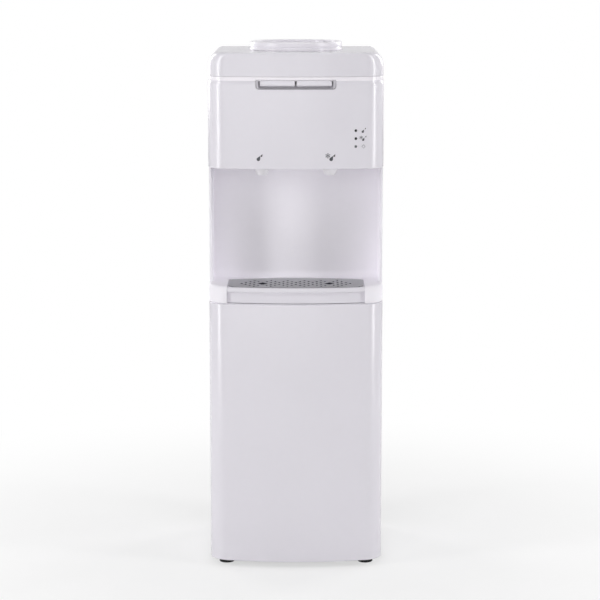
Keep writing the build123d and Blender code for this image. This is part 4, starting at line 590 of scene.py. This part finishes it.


# ---------------------------------------------------------------- drip tray and grille
# White tray that slides out of the band, with a rounded lip over its set-back face; grey
# perforated grille lying in it, pale on its face, with its body and the walls of its openings in painted
# shade.

TRAY_FOOT = 0.4985
TRAY_TOP = 0.5278
TRAY_FACE = 0.0050          # face behind the front of the lip
LIP_FOOT = 0.5188
GRILLE_CORNER = 0.022
GRILLE_FOOT = 0.5248
GRILLE_FACE = 0.5282
GRILLE_TOP = 0.5287
COLUMN_PITCH = 0.0077
SLOT_PITCH = 0.0225
PATTERN_MIDDLE = -0.111
SLOT_COUNTS = (2, 3, 4, 3, 2, 3, 4, 2, 0, 2, 4, 3, 2, 1)     # from the middle column outwards
SPREAD_COLUMNS = (7, 9)     # beside the large openings, with their slots twice as far apart

body = skin(level_rows(tray_line(0, 0.0065, 0), TRAY_FOOT, TRAY_TOP))
grille_bed = skin(level_rows(tray_line(0.002, 0.0027, GRILLE_CORNER), 0.5245, 0.54))
basin = skin(level_rows(tray_line(0.004, 0.0085, GRILLE_CORNER), 0.5026, 0.54))
face = rounded([(TRAY_FACE, TRAY_FOOT, 0.0004), (TRAY_FACE, LIP_FOOT), (0, LIP_FOOT, 0.0018),
                (0, TRAY_TOP, 0.0028), (0.0031, TRAY_TOP), (0.0031, 0.5235), (0.0070, 0.5235),
                (0.0070, TRAY_FOOT)], 7)
across = [TRAY_HALF * t / 20 for t in range(-20, 21)]
face_rows = [[(x, bow_y(x, inset), z) for x in across] for inset, z in face]
tray = join(carved(body, grille_bed, basin), skin(face_rows, ring=False, loop=True))
piece("tray_moulding", tray, white_gloss, "drip_tray", 32, ["drip_tray"])


def diamonds(grow, low, high):
    """Upright prisms that cut the grille's openings: staggered slots and a large one under each spout."""
    prisms = []
    for column, count in enumerate(SLOT_COUNTS):
        pitch = SLOT_PITCH * (2 if column in SPREAD_COLUMNS else 1)
        if count:
            openings = [((i - (count - 1) / 2) * pitch, 0.003 + grow, 0.00525 + grow) for i in range(count)]
        else:
            openings = [(0.0, 0.010 + grow, 0.0145 + grow)]
        for x in (-column * COLUMN_PITCH, column * COLUMN_PITCH) if column else (0.0,):
            for y, half, reach in openings:
                y += PATTERN_MIDDLE
                corners = [(x - half, y), (x, y - reach), (x + half, y), (x, y + reach)]
                prisms.append(skin(level_rows(corners, low, high)))
    return join(*prisms)


# The body's dark grey, which shows in the walls of the openings, is painted shade that makes the openings
# read dark; the face plate's grey is the grille's own colour.
grille_painted_shade = finish("grille_painted_shade", (74, 75, 80), 0.5, 0.05, (2500, 0.00003), 0.08)
grille_grey = finish("grey_grille", (158, 158, 162), 0.42, 0.04, (2500, 0.00003), 0.08)
plate_line = tray_line(0.0023, 0.003, GRILLE_CORNER)
grille_body = carved(skin(level_rows(plate_line, GRILLE_FOOT, GRILLE_FACE)), diamonds(0.0003, 0.52, 0.54))
piece("grille_body", grille_body, grille_painted_shade, "drip_grille", 30, ["drip_grille"])
grille_face = carved(skin(level_rows(plate_line, GRILLE_FACE, GRILLE_TOP)), diamonds(0.0005, 0.52, 0.54))
piece("grille_face", grille_face, grille_grey, "drip_grille", 30)


# ---------------------------------------------------------------- key frame and keys
# Grey frame set into the head's notch; in it two silver-grey keys with a rounded face, which
# swing on steel pins and lift the tap plungers with a forked arm.

PIVOT_Y = -0.144
FRAME_BACK = -0.139
KEY_LEVEL = 0.8990
KEY_HALF_HEIGHT = 0.00525
KEY_DEPTH = 0.009
KEY_START = 0.0015          # from the middle to the key's two ends
KEY_END = 0.0649
KEY_EDGE = 0.0012           # rounding of the ends
KEY_SET_BACK = 0.0012
ARM = (0.8978, 0.9018)      # levels of the arms
ARM_HALF = 0.003
ARM_END = -0.1200
FORK_END = -0.1080
FORK_INNER = 0.0021
FORK_OUTER = 0.0055
PIN_BORE = 0.00155
HUB_RADIUS = 0.0036
HUB_START = 0.0065
HUB_LEVEL = 0.8998
TAP_X = 0.062               # the taps' axes, which the forks reach
THROAT_HALF = 0.0673
THROAT_FOOT = 0.8898
THROAT_TOP = 0.9044
ARM_SLOT = (0.8968, 0.9028)     # levels of the gap in the frame's back for the arms
EAR_PLACES = (-0.0668, -0.0040, 0.0040, 0.0668)


def frame_loop(half, low, high, foot, head_radius):
    """Rounded rectangle in front view with points all along its level edges."""
    points = []
    for x, z, radius, start in ((-1, low, foot, math.pi), (1, low, foot, 1.5 * math.pi),
                                (1, high, head_radius, 0.0), (-1, high, head_radius, 0.5 * math.pi)):
        cx, cz = x * (half - radius), z + (radius if z == low else -radius)
        points += [(cx + radius * math.cos(start + math.pi / 2 * i / 6),
                    cz + radius * math.sin(start + math.pi / 2 * i / 6)) for i in range(7)]
        if x * (1 if z == low else -1) < 0:
            points += [(cx - 2 * cx * i / 24, z) for i in range(1, 24)]
    return points


frame_grey = finish("grey_frame", (194, 191, 198), 0.4, 0.03, (2500, 0.00003), 0.08)
key_back = finish("key_back", (196, 193, 199), 0.5, 0.03, (2500, 0.00003), 0.06)
key_silver = finish("silver_key", (232, 229, 236), 0.3, 0.03, (2200, 0.00002), 0.06, coat=0.3)
pin_steel = finish("pin_steel", (185, 186, 190), 0.28, 0.05, (900, 0.00002), 0.1, (1, 30, 30), 1.0)

outer = frame_loop(0.0723, 0.8884, HEAD_TOP, 0.006, 0.0006)
lip = frame_loop(0.0718, 0.8889, 0.9053, 0.0056, 0.0004)
inner = frame_loop(0.0677, 0.8894, 0.9048, 0.0018, 0.0008)
throat = frame_loop(THROAT_HALF, THROAT_FOOT, THROAT_TOP, 0.0016, 0.0006)
rows = [[(x, FRAME_BACK, z) for x, z in outer], [(x, bow_y(x, 0.0012), z) for x, z in outer],
        [(x, bow_y(x, 0.0006), z) for x, z in lip], [(x, bow_y(x, 0.0006), z) for x, z in inner],
        [(x, bow_y(x, 0.0011), z) for x, z in throat], [(x, FRAME_BACK, z) for x, z in throat]]
ears = []
for x in EAR_PLACES:
    ears.append(((x - 0.0015, -0.1476, 0.8894), (x + 0.0015, FRAME_BACK, 0.9048)))
frame_mesh = join(skin(rows, loop=True), blocks(ears, 0.0003))
piece("key_frame", frame_mesh, frame_grey, "cabinet", 32, ["key_bezel"])
panes = [((-THROAT_HALF, -0.1541, low), (THROAT_HALF, -0.1533, high))
         for low, high in ((THROAT_FOOT, ARM_SLOT[0]), (ARM_SLOT[1], THROAT_TOP))]
piece("key_back", blocks(panes), key_back, "cabinet", 32)
dress(pin_steel, "key_hinge_pins")

section = rounded([(0.0, -KEY_HALF_HEIGHT, 0.0036), (0.0, KEY_HALF_HEIGHT, 0.0030),
                   (KEY_DEPTH, KEY_HALF_HEIGHT, 0.0006), (KEY_DEPTH, -KEY_HALF_HEIGHT, 0.0006)], 8)
for side, name in ((-1, "hot"), (1, "cold")):
    rows = []
    for i in range(31):
        x = KEY_START + (KEY_END - KEY_START) * i / 30
        end = min(x - KEY_START, KEY_END - x, KEY_EDGE)
        shrink = KEY_EDGE - math.sqrt(max(0.0, KEY_EDGE**2 - (KEY_EDGE - end) ** 2))
        y = bow_y(x, KEY_SET_BACK) + shrink
        depth = 1 - shrink / KEY_DEPTH
        height = 1 - shrink / KEY_HALF_HEIGHT
        rows.append([(side * x, y + u * depth, KEY_LEVEL + v * height) for u, v in section])
    near, far = sorted((side * HUB_START, side * KEY_END))
    arm = side * TAP_X
    boxes = [((near, -0.1608, ARM[0]), (far, PIVOT_Y, ARM[1])),
             ((arm - ARM_HALF, PIVOT_Y, ARM[0]), (arm + ARM_HALF, ARM_END, ARM[1])),
             ((arm - FORK_OUTER, -0.1202, ARM[0]), (arm - FORK_INNER, FORK_END, ARM[1])),
             ((arm + FORK_INNER, -0.1202, ARM[0]), (arm + FORK_OUTER, FORK_END, ARM[1]))]
    hub_line = [(PIN_BORE, near), (HUB_RADIUS, near), (HUB_RADIUS, far), (PIN_BORE, far)]
    hub = turned(hub_line, (0, PIVOT_Y, HUB_LEVEL), "X", 24, closed=True)
    key = join(skin(rows), blocks(boxes, 0.0003), hub)
    piece(f"{name}_key_bar", key, key_silver, f"{name}_key", 40, [f"{name}_key"])


# ---------------------------------------------------------------- taps
# Moulded valve bodies with bonnets and plungers, closed by stainless springs wound from 1.2 mm
# wire, and the pale spouts that hang under the head's floor. A key lifting its plunger shortens
# its spring; the coils here keep the length of the imported springs. Bodies, bonnets and plungers
# are the imported solids.

TAP_Y = -0.112
SPRING_TURNS = 4
SPRING_STEPS = 24           # along each turn
SPRING_COIL = 0.0044
SPRING_WIRE = 0.0006

tap_moulding = finish("tap_moulding", (210, 210, 205), 0.5, 0.03, (1500, 0.00003), 0.08)
plunger_moulding = finish("plunger_moulding", (225, 225, 222), 0.45, 0.03)
spout_white = finish("nozzle_moulding", (240, 238, 242), 0.3, 0.01, (1400, 0.00002), 0.05)
dress(tap_moulding, "hot_tap_body", "cold_tap_body", "tap_bonnets")
dress(plunger_moulding, "hot_tap_plunger", "cold_tap_plunger")
spout_line = rounded([(0.0050, 0.7718), (0.0100, 0.7718), (0.0100, 0.7445), (0.0140, 0.7445, 0.0008),
                      (0.0140, 0.7405, 0.0015), (0.0103, 0.7335, 0.003), (0.0090, 0.7298, 0.0006),
                      (0.0070, 0.7298, 0.0006), (0.0050, 0.7445, 0.002)], 5)
for side, name in ((-1, "hot"), (1, "cold")):
    spout = turned(spout_line, (side * TAP_X, TAP_Y, 0), steps=48, closed=True)
    piece(f"{name}_spout", spout, spout_white, "cabinet", 32, [f"{name}_nozzle"])
wire_ring = [(SPRING_WIRE * math.cos(math.tau * i / 8), SPRING_WIRE * math.sin(math.tau * i / 8))
             for i in range(8)]
for side, name in ((-1, "hot"), (1, "cold")):
    low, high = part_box(f"{name}_tap_spring")
    length = high.z - low.z
    rows = []
    for i in range(SPRING_TURNS * SPRING_STEPS + 1):
        a = math.tau * i / SPRING_STEPS
        out = Vector((math.cos(a), math.sin(a), 0))
        rise = (length - 2 * SPRING_WIRE) * i / (SPRING_TURNS * SPRING_STEPS)
        centre = Vector((side * TAP_X, TAP_Y, low.z + SPRING_WIRE + rise)) + out * SPRING_COIL
        rows.append([tuple(centre + out * u + Vector((0, 0, v))) for u, v in wire_ring])
    coil = piece(f"{name}_spring_coil", skin(rows), pin_steel, "cabinet", 60,
                 [f"{name}_tap_spring"])
    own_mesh(coil)


# ---------------------------------------------------------------- indicator lights and signs
# Three light pipes in the head's right part, in front of the control board. The upper two are
# dark, the lowest one is clearer. Beside them and over the spouts are printed signs: drops, snow
# crystals and a ring of rays.

LIGHT_X = 0.108
LIGHT_LEVELS = (0.8141, 0.7998, 0.7855)

sign_grey = finish("sign_grey", (78, 78, 84), 0.5, 0.04, (2600, 0.00001), 0.05)
sign_faint = finish("sign_faint", (150, 149, 155), 0.5, 0.04, (2600, 0.00001), 0.05)
lens_dark = finish("light_pipe", (14, 15, 16), 0.3, 0.1, (1200, 0.00001), 0.05)
lens_clear = finish("lens_clear", (88, 90, 92), 0.15, 0.2, (900, 0.00001), 0.03, coat=0.6)
board_green = finish("circuit_board", (28, 96, 62), 0.4, 0.2, (500, 0.0001), 0.1, cells=True)
dress(board_green, "control_board")
dome = [(0.0, -0.00075), (0.0008, -0.00072), (0.0016, -0.0006), (0.0022, -0.00035), (0.00262, 0.0001),
        (0.00275, 0.0006), (0.00275, 0.0030), (0.0, 0.0030)]
for i, (z, lens) in enumerate(zip(LIGHT_LEVELS, (lens_dark, lens_dark, lens_clear))):
    light = turned(dome, (LIGHT_X, bow_y(LIGHT_X), z), "Y", 32)
    piece(f"light_{i + 1}", light, lens, "cabinet", 50, ["indicator_lights"])


def drop(x, z, size, lean=30):
    """Outline of a water drop whose tip leans to the right."""
    turn = math.radians(-lean)
    points = [(0, size)]
    for i in range(17):
        a = math.radians(30) - math.radians(240) * i / 16
        points.append((0.58 * size * math.cos(a), -0.3 * size + 0.58 * size * math.sin(a)))
    ca, sa = math.cos(turn), math.sin(turn)
    return [[(x + u * ca - v * sa, z + u * sa + v * ca) for u, v in points]]


def stroke(x0, z0, x1, z1, width):
    """Outline of a straight stroke."""
    along = Vector((x1 - x0, z1 - z0)).normalized() * width / 2
    u, v = -along.y, along.x
    return [(x0 + u, z0 + v), (x0 - u, z0 - v), (x1 - u, z1 - v), (x1 + u, z1 + v)]


def snowflake(x, z, size):
    """Outlines of a six-armed snow crystal."""
    strokes = []
    for i in range(6):
        a = math.radians(60 * i + 30)
        ca, sa = math.cos(a), math.sin(a)
        strokes.append(stroke(x, z, x + size * ca, z + size * sa, 0.2 * size))
        for turn in (-0.9, 0.9):
            b = a + turn
            strokes.append(stroke(x + 0.55 * size * ca, z + 0.55 * size * sa,
                                  x + 0.55 * size * ca + 0.36 * size * math.cos(b),
                                  z + 0.55 * size * sa + 0.36 * size * math.sin(b), 0.15 * size))
    return strokes


def rays(x, z, size):
    """Outlines of a ring with short rays round it."""
    shapes = []
    for i in range(24):
        a, b = math.tau * i / 24, math.tau * (i + 1) / 24
        shapes.append([(x + r * size * math.cos(t), z + r * size * math.sin(t))
                       for r, t in ((0.42, a), (0.6, a), (0.6, b), (0.42, b))])
    for i in range(8):
        a = math.tau * i / 8
        shapes.append(stroke(x + 0.72 * size * math.cos(a), z + 0.72 * size * math.sin(a),
                             x + size * math.cos(a), z + size * math.sin(a), 0.15 * size))
    return shapes


def printed(name, shapes, paint, y=None):
    """Thin printed sign that lies on the bowed front, or on a flat face at y that looks back."""
    vertices, faces = [], []
    for outline in shapes:
        faces.append(range(len(vertices), len(vertices) + len(outline)))
        vertices += [(x, bow_y(x) - 0.00006 if y is None else y, z) for x, z in outline]
    mesh = bpy.data.meshes.new(name)
    mesh.from_pydata(vertices, [], faces)
    piece(name, mesh, paint, "cabinet")


printed("sign_heat", drop(0.1214, 0.8128, 0.0036) + drop(0.1258, 0.8178, 0.0017), sign_grey)
cool = snowflake(0.1180, 0.8016, 0.0033) + drop(0.1222, 0.7982, 0.0036) + drop(0.1266, 0.8032, 0.0017)
printed("sign_cool", cool, sign_grey)
printed("sign_power", rays(0.1222, 0.7855, 0.0042), sign_faint)
printed("sign_hot_tap", drop(-0.0668, 0.7643, 0.0056) + drop(-0.0616, 0.7696, 0.0029), sign_grey)
cold_tap = snowflake(0.0578, 0.7692, 0.0048) + drop(0.0646, 0.7643, 0.0056) + drop(0.0698, 0.7696, 0.0029)
printed("sign_cold_tap", cold_tap, sign_grey)


# ---------------------------------------------------------------- tanks and hoses
# Stainless cold tank with its copper evaporator coil in white foam, under the bottle seat; below
# it the stainless hot tank with its heater band and cut-outs, on zinc-plated sheet. Pale silicone
# hoses lead to the taps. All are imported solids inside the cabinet.

stainless = finish("stainless", (190, 190, 192), 0.3, 0.05, (900, 0.00002), 0.1, (8, 8, 0.4), 1.0)
foam = finish("foam", (236, 234, 226), 0.85, 0.05, (300, 0.0006), 0.1, cells=True)
copper = finish("copper_tube", (196, 118, 84), 0.32, 0.22, (400, 0.00004), 0.2, metallic=1.0)
zinc_sheet = finish("zinc_sheet", (178, 182, 186), 0.38, 0.1, (160, 0.00002), 0.15, metallic=0.85, cells=True)
silicone = finish("silicone_hose", (226, 224, 216), 0.4, 0.03, (700, 0.00004), 0.08)
black_moulding = finish("black_moulding", (30, 31, 33), 0.42, 0.1, (2200, 0.00004), 0.1)
dress(stainless, "cold_tank", "hot_tank", "heater_band")
dress(foam, "tank_insulation")
dress(copper, "evaporator_coil")
dress(zinc_sheet, "tank_shelf", "hot_tank_bracket")
dress(silicone, "water_hoses")
dress(black_moulding, "thermostats")


# ---------------------------------------------------------------- back panel and its fittings
# Galvanised sheet held to the flanges of the side sheets by pan-head screws. Through it come two
# rocker switches in a black frame, the drain spout with its ribbed screw cap and the bush for
# the mains lead.

SHEET_FACE = 0.1470         # rear face of the sheet
SCREW_X = 0.1525
SCREW_LEVELS = (0.216, 0.385, 0.555, 0.725, 0.892)
DRAIN_LEVEL = 0.217
BUSH_X = -0.095
SWITCH_FACE = 0.14904

back_sheet = finish("back_sheet", (176, 178, 181), 0.42, 0.06, (140, 0.00002), 0.14, metallic=0.6, cells=True)
rocker_black = finish("rocker_moulding", (24, 24, 26), 0.25, 0.1, (1800, 0.00002), 0.05)
cap_black = finish("black_cap", (28, 28, 30), 0.5, 0.12, (2200, 0.00005), 0.1)
sign_pale = finish("sign_pale", (214, 214, 212), 0.5, 0.03, (2600, 0.00001), 0.05)
dress(back_sheet, "back_panel")
dress(black_moulding, "switch_frame")
dress(rocker_black, "heating_switch", "cooling_switch")

screw_line = rounded([(0.0, 0.0022), (0.0036, 0.0022, 0.0016), (0.0038, 0.0), (0.0, 0.0)], 4, False)
screw_line = [(radius, SHEET_FACE + height) for radius, height in screw_line]
cross = [blocks([((-u, 0.1479, -v), (u, 0.16, v))]) for u, v in ((0.0004, 0.0021), (0.0021, 0.0004))]
screw = carved(turned(screw_line, (0, 0, 0), "Y", 20), *cross)
screws = []
for x in (-SCREW_X, SCREW_X):
    for z in SCREW_LEVELS:
        turn = 31 * z + 7 * x       # each screw stopped at an angle of its own
        screws.append(screw.copy())
        screws[-1].transform(Matrix.Translation((x, 0, z)) @ Matrix.Rotation(turn, 4, "Y"))
piece("back_screws", join(*screws), pin_steel, "cabinet", 30)

drain_line = rounded([(0.005, 0.1350), (0.008, 0.1350), (0.008, SHEET_FACE), (0.011, SHEET_FACE, 0.0005),
                      (0.011, 0.1485, 0.0006), (0.008, 0.1485), (0.008, 0.1560, 0.0006), (0.005, 0.1560)], 4)
drain = turned(drain_line, (0, 0, DRAIN_LEVEL), "Y", 40, closed=True)
piece("drain_tail", drain, black_moulding, "cabinet", 32, ["drain_spout"])
drain_cap_rows = []
for y, groove, rib in ((0.1563, 0.0083, 0.0083), (0.1488, 0.0083, 0.0083), (0.1488, 0.0113, 0.0123),
                       (0.1592, 0.0113, 0.0123), (0.1605, 0.0102, 0.0108)):
    drain_cap_rows.append([])
    for i in range(96):
        a = math.tau * i / 96
        radius = rib if i % 4 in (1, 2) else groove
        drain_cap_rows[-1].append((radius * math.cos(a), y, DRAIN_LEVEL + radius * math.sin(a)))
piece("drain_screw_cap", skin(drain_cap_rows), cap_black, "drain_cap", 40, ["drain_cap"])
bush_line = rounded([(0.004, 0.1420), (0.007, 0.1420), (0.007, SHEET_FACE), (0.0095, SHEET_FACE, 0.0004),
                     (0.0095, 0.1495, 0.001), (0.0070, 0.1510, 0.001), (0.004, 0.1510, 0.0006)], 4)
bush = turned(bush_line, (BUSH_X, 0, DRAIN_LEVEL), "Y", 40, closed=True)
piece("cord_bush", bush, black_moulding, "cabinet", 32, ["cord_gland"])
printed("sign_heating_switch", drop(0.0170, 0.8682, 0.0019, 0), sign_pale, SWITCH_FACE)
printed("sign_cooling_switch", snowflake(-0.0170, 0.8684, 0.0019), sign_pale, SWITCH_FACE)


# ---------------------------------------------------------------- condenser
# Black painted steel: a serpentine tube between two layers of spot-welded wires, which stands
# behind the back sheet on two bent strips.

RUN_PITCH = 50              # in millimetres, as the pipes' routes are
RUN_FOOT = 250
RUN_END = 105
BEND_REACH = 130
CONDENSER_Y = 160.8
WIRE_COUNT = 31
WIRE_PITCH = 0.0068
WIRE_RADIUS = 0.0008
WIRE_LAYERS = (0.1574, 0.1642)


def tube(stops, radius, bend, sides=14, steps=7):
    """Round tube along a line of points, its corners bent to one radius, all in millimetres."""
    stops = [Vector(stop) / 1000 for stop in stops]
    line = [stops[0]]
    for before, here, after in zip(stops, stops[1:], stops[2:]):
        back, onward = before - here, after - here
        half = back.angle(onward) / 2
        cut = min(bend / 1000 / math.tan(half), back.length * 0.499, onward.length * 0.499)
        back, onward = back.normalized(), onward.normalized()
        centre = here + (back + onward).normalized() * cut / math.cos(half)
        start, end = here + back * cut - centre, here + onward * cut - centre
        for i in range(steps + 1):
            line.append(centre + start.normalized().slerp(end.normalized(), i / steps) * start.length)
    line.append(stops[-1])
    side = (line[1] - line[0]).orthogonal()
    rows = []
    for i, point in enumerate(line):
        ahead = (line[min(i + 1, len(line) - 1)] - line[max(i - 1, 0)]).normalized()
        side = (side - ahead * side.dot(ahead)).normalized()
        up = ahead.cross(side)
        turns = [math.tau * j / sides for j in range(sides)]
        rows.append([tuple(point + (side * math.cos(a) + up * math.sin(a)) * radius / 1000) for a in turns])
    return skin(rows)


condenser_black = finish("condenser_black", (22, 22, 24), 0.4, 0.2, (900, 0.00005), 0.15)
dress(condenser_black, "condenser_brackets")
stops = [(-RUN_END, CONDENSER_Y, RUN_FOOT)]
for run in range(8):
    x = BEND_REACH if run % 2 == 0 else -BEND_REACH
    level = RUN_FOOT + RUN_PITCH * run
    stops += [(x, CONDENSER_Y, level), (x, CONDENSER_Y, level + RUN_PITCH)]
stops.append((RUN_END, CONDENSER_Y, RUN_FOOT + RUN_PITCH * 8))
grid = [tube(stops, 2.5, RUN_PITCH / 2)]
wire = [(0.0, 0.236), (WIRE_RADIUS, 0.236), (WIRE_RADIUS, 0.664), (0.0, 0.664)]
for y in WIRE_LAYERS:
    for i in range(WIRE_COUNT):
        grid.append(turned(wire, ((i - (WIRE_COUNT - 1) / 2) * WIRE_PITCH, y, 0), steps=8))
piece("condenser_grid", join(*grid), condenser_black, "cabinet", 60, ["condenser"])


# ---------------------------------------------------------------- compressor, drier and pipes
# Black painted welded pot with its seam, on a plate with four rubber mounts; relay box at its
# side; brazed copper pipes to the condenser, the filter drier and the evaporator.

POT_Y = 0.055
POT_RADIUS = 0.060
SEAM_RADIUS = 0.064
POT_FOOT = 0.0329
POT_TOP = 0.1829
MOUNT_PLACES = [(x, y) for x in (-0.072, 0.072) for y in (0.007, 0.103)]
DRIER_X = -0.124
PIPE_RADIUS = 3             # this and the routes in millimetres
PIPE_BEND = 16

compressor_black = finish("compressor_black", (20, 20, 22), 0.33, 0.15, (500, 0.00006), 0.12)
pot = rounded([(0.0, POT_FOOT), (0.046, POT_FOOT, 0.012), (POT_RADIUS, 0.0600, 0.03), (POT_RADIUS, 0.1154),
               (SEAM_RADIUS, 0.1154, 0.001), (SEAM_RADIUS, 0.1214, 0.001), (POT_RADIUS, 0.1214, 0.0015),
               (POT_RADIUS, 0.1500, 0.03), (0.050, 0.1720, 0.025), (0.026, POT_TOP, 0.03),
               (0.0, POT_TOP)], 6, False)
foot_plate = rounded([(-0.082, -0.003, 0.012), (0.082, -0.003, 0.012), (0.082, 0.113, 0.012),
                      (-0.082, 0.113, 0.012)], 6)
parts = [turned(pot, (0, POT_Y, 0), steps=72), skin(level_rows(foot_plate, POT_FOOT, 0.0354))]
piece("compressor_pot", join(*parts), compressor_black, "cabinet", 40, ["compressor"])
mount = rounded([(0.0, 0.0166), (0.009, 0.0166, 0.001), (0.007, 0.0246, 0.006), (0.009, 0.0326, 0.001),
                 (0.0045, 0.0326), (0.0045, 0.0366, 0.001), (0.0, 0.0366)], 4, False)
mounts = join(*[turned(mount, (x, y, 0), steps=28) for x, y in MOUNT_PLACES])
piece("compressor_mounts", mounts, seal_rubber, "cabinet", 40, ["compressor_grommets"])
relay = blocks([((-0.0863, 0.037, 0.0729), (-0.0603, 0.073, 0.1069)),
                ((-0.0873, 0.043, 0.078), (-0.0863, 0.067, 0.101))], 0.0012)
piece("relay_box", relay, black_moulding, "cabinet", 40, ["start_relay"])

hot_gas = [(60.3, 55, 127.4), (124, 55, 127.4), (124, 123, 127.4), (124, 123, 650), (124, 160.8, 650),
           (105.3, 160.8, 650)]
liquid = [(-105.3, 160.8, 250), (-124, 160.8, 250), (-124, 160.8, 80), (-124, -15, 80), (-124, -15, 109.7)]
suction = [(-60.3, 55, 127.4), (-148, 55, 127.4), (-148, 55, 839.8), (-148, -15, 839.8), (-78.6, -15, 839.8)]
capillary = [(-124, -15, 200.3), (-124, -15, 776.8), (-78.6, -15, 776.8)]
process_stub = [(20, 110, 140), (20, 132, 140), (20, 132, 176)]
pipes = [tube(line, PIPE_RADIUS, PIPE_BEND) for line in (hot_gas, liquid, suction)]
pipes.append(tube(capillary, 1.2, PIPE_BEND))
pipes.append(tube(process_stub, 2.4, 10))
piece("copper_pipes", join(*pipes), copper, "cabinet", 60, ["refrigerant_pipes"])
drier_line = rounded([(0.003, 0.110), (0.009, 0.122, 0.004), (0.009, 0.188, 0.004), (0.003, 0.200)], 5, False)
drier = turned(drier_line, (DRIER_X, SEAT_Y, 0), steps=32)
piece("drier_body", drier, copper, "cabinet", 40, ["filter_drier"])
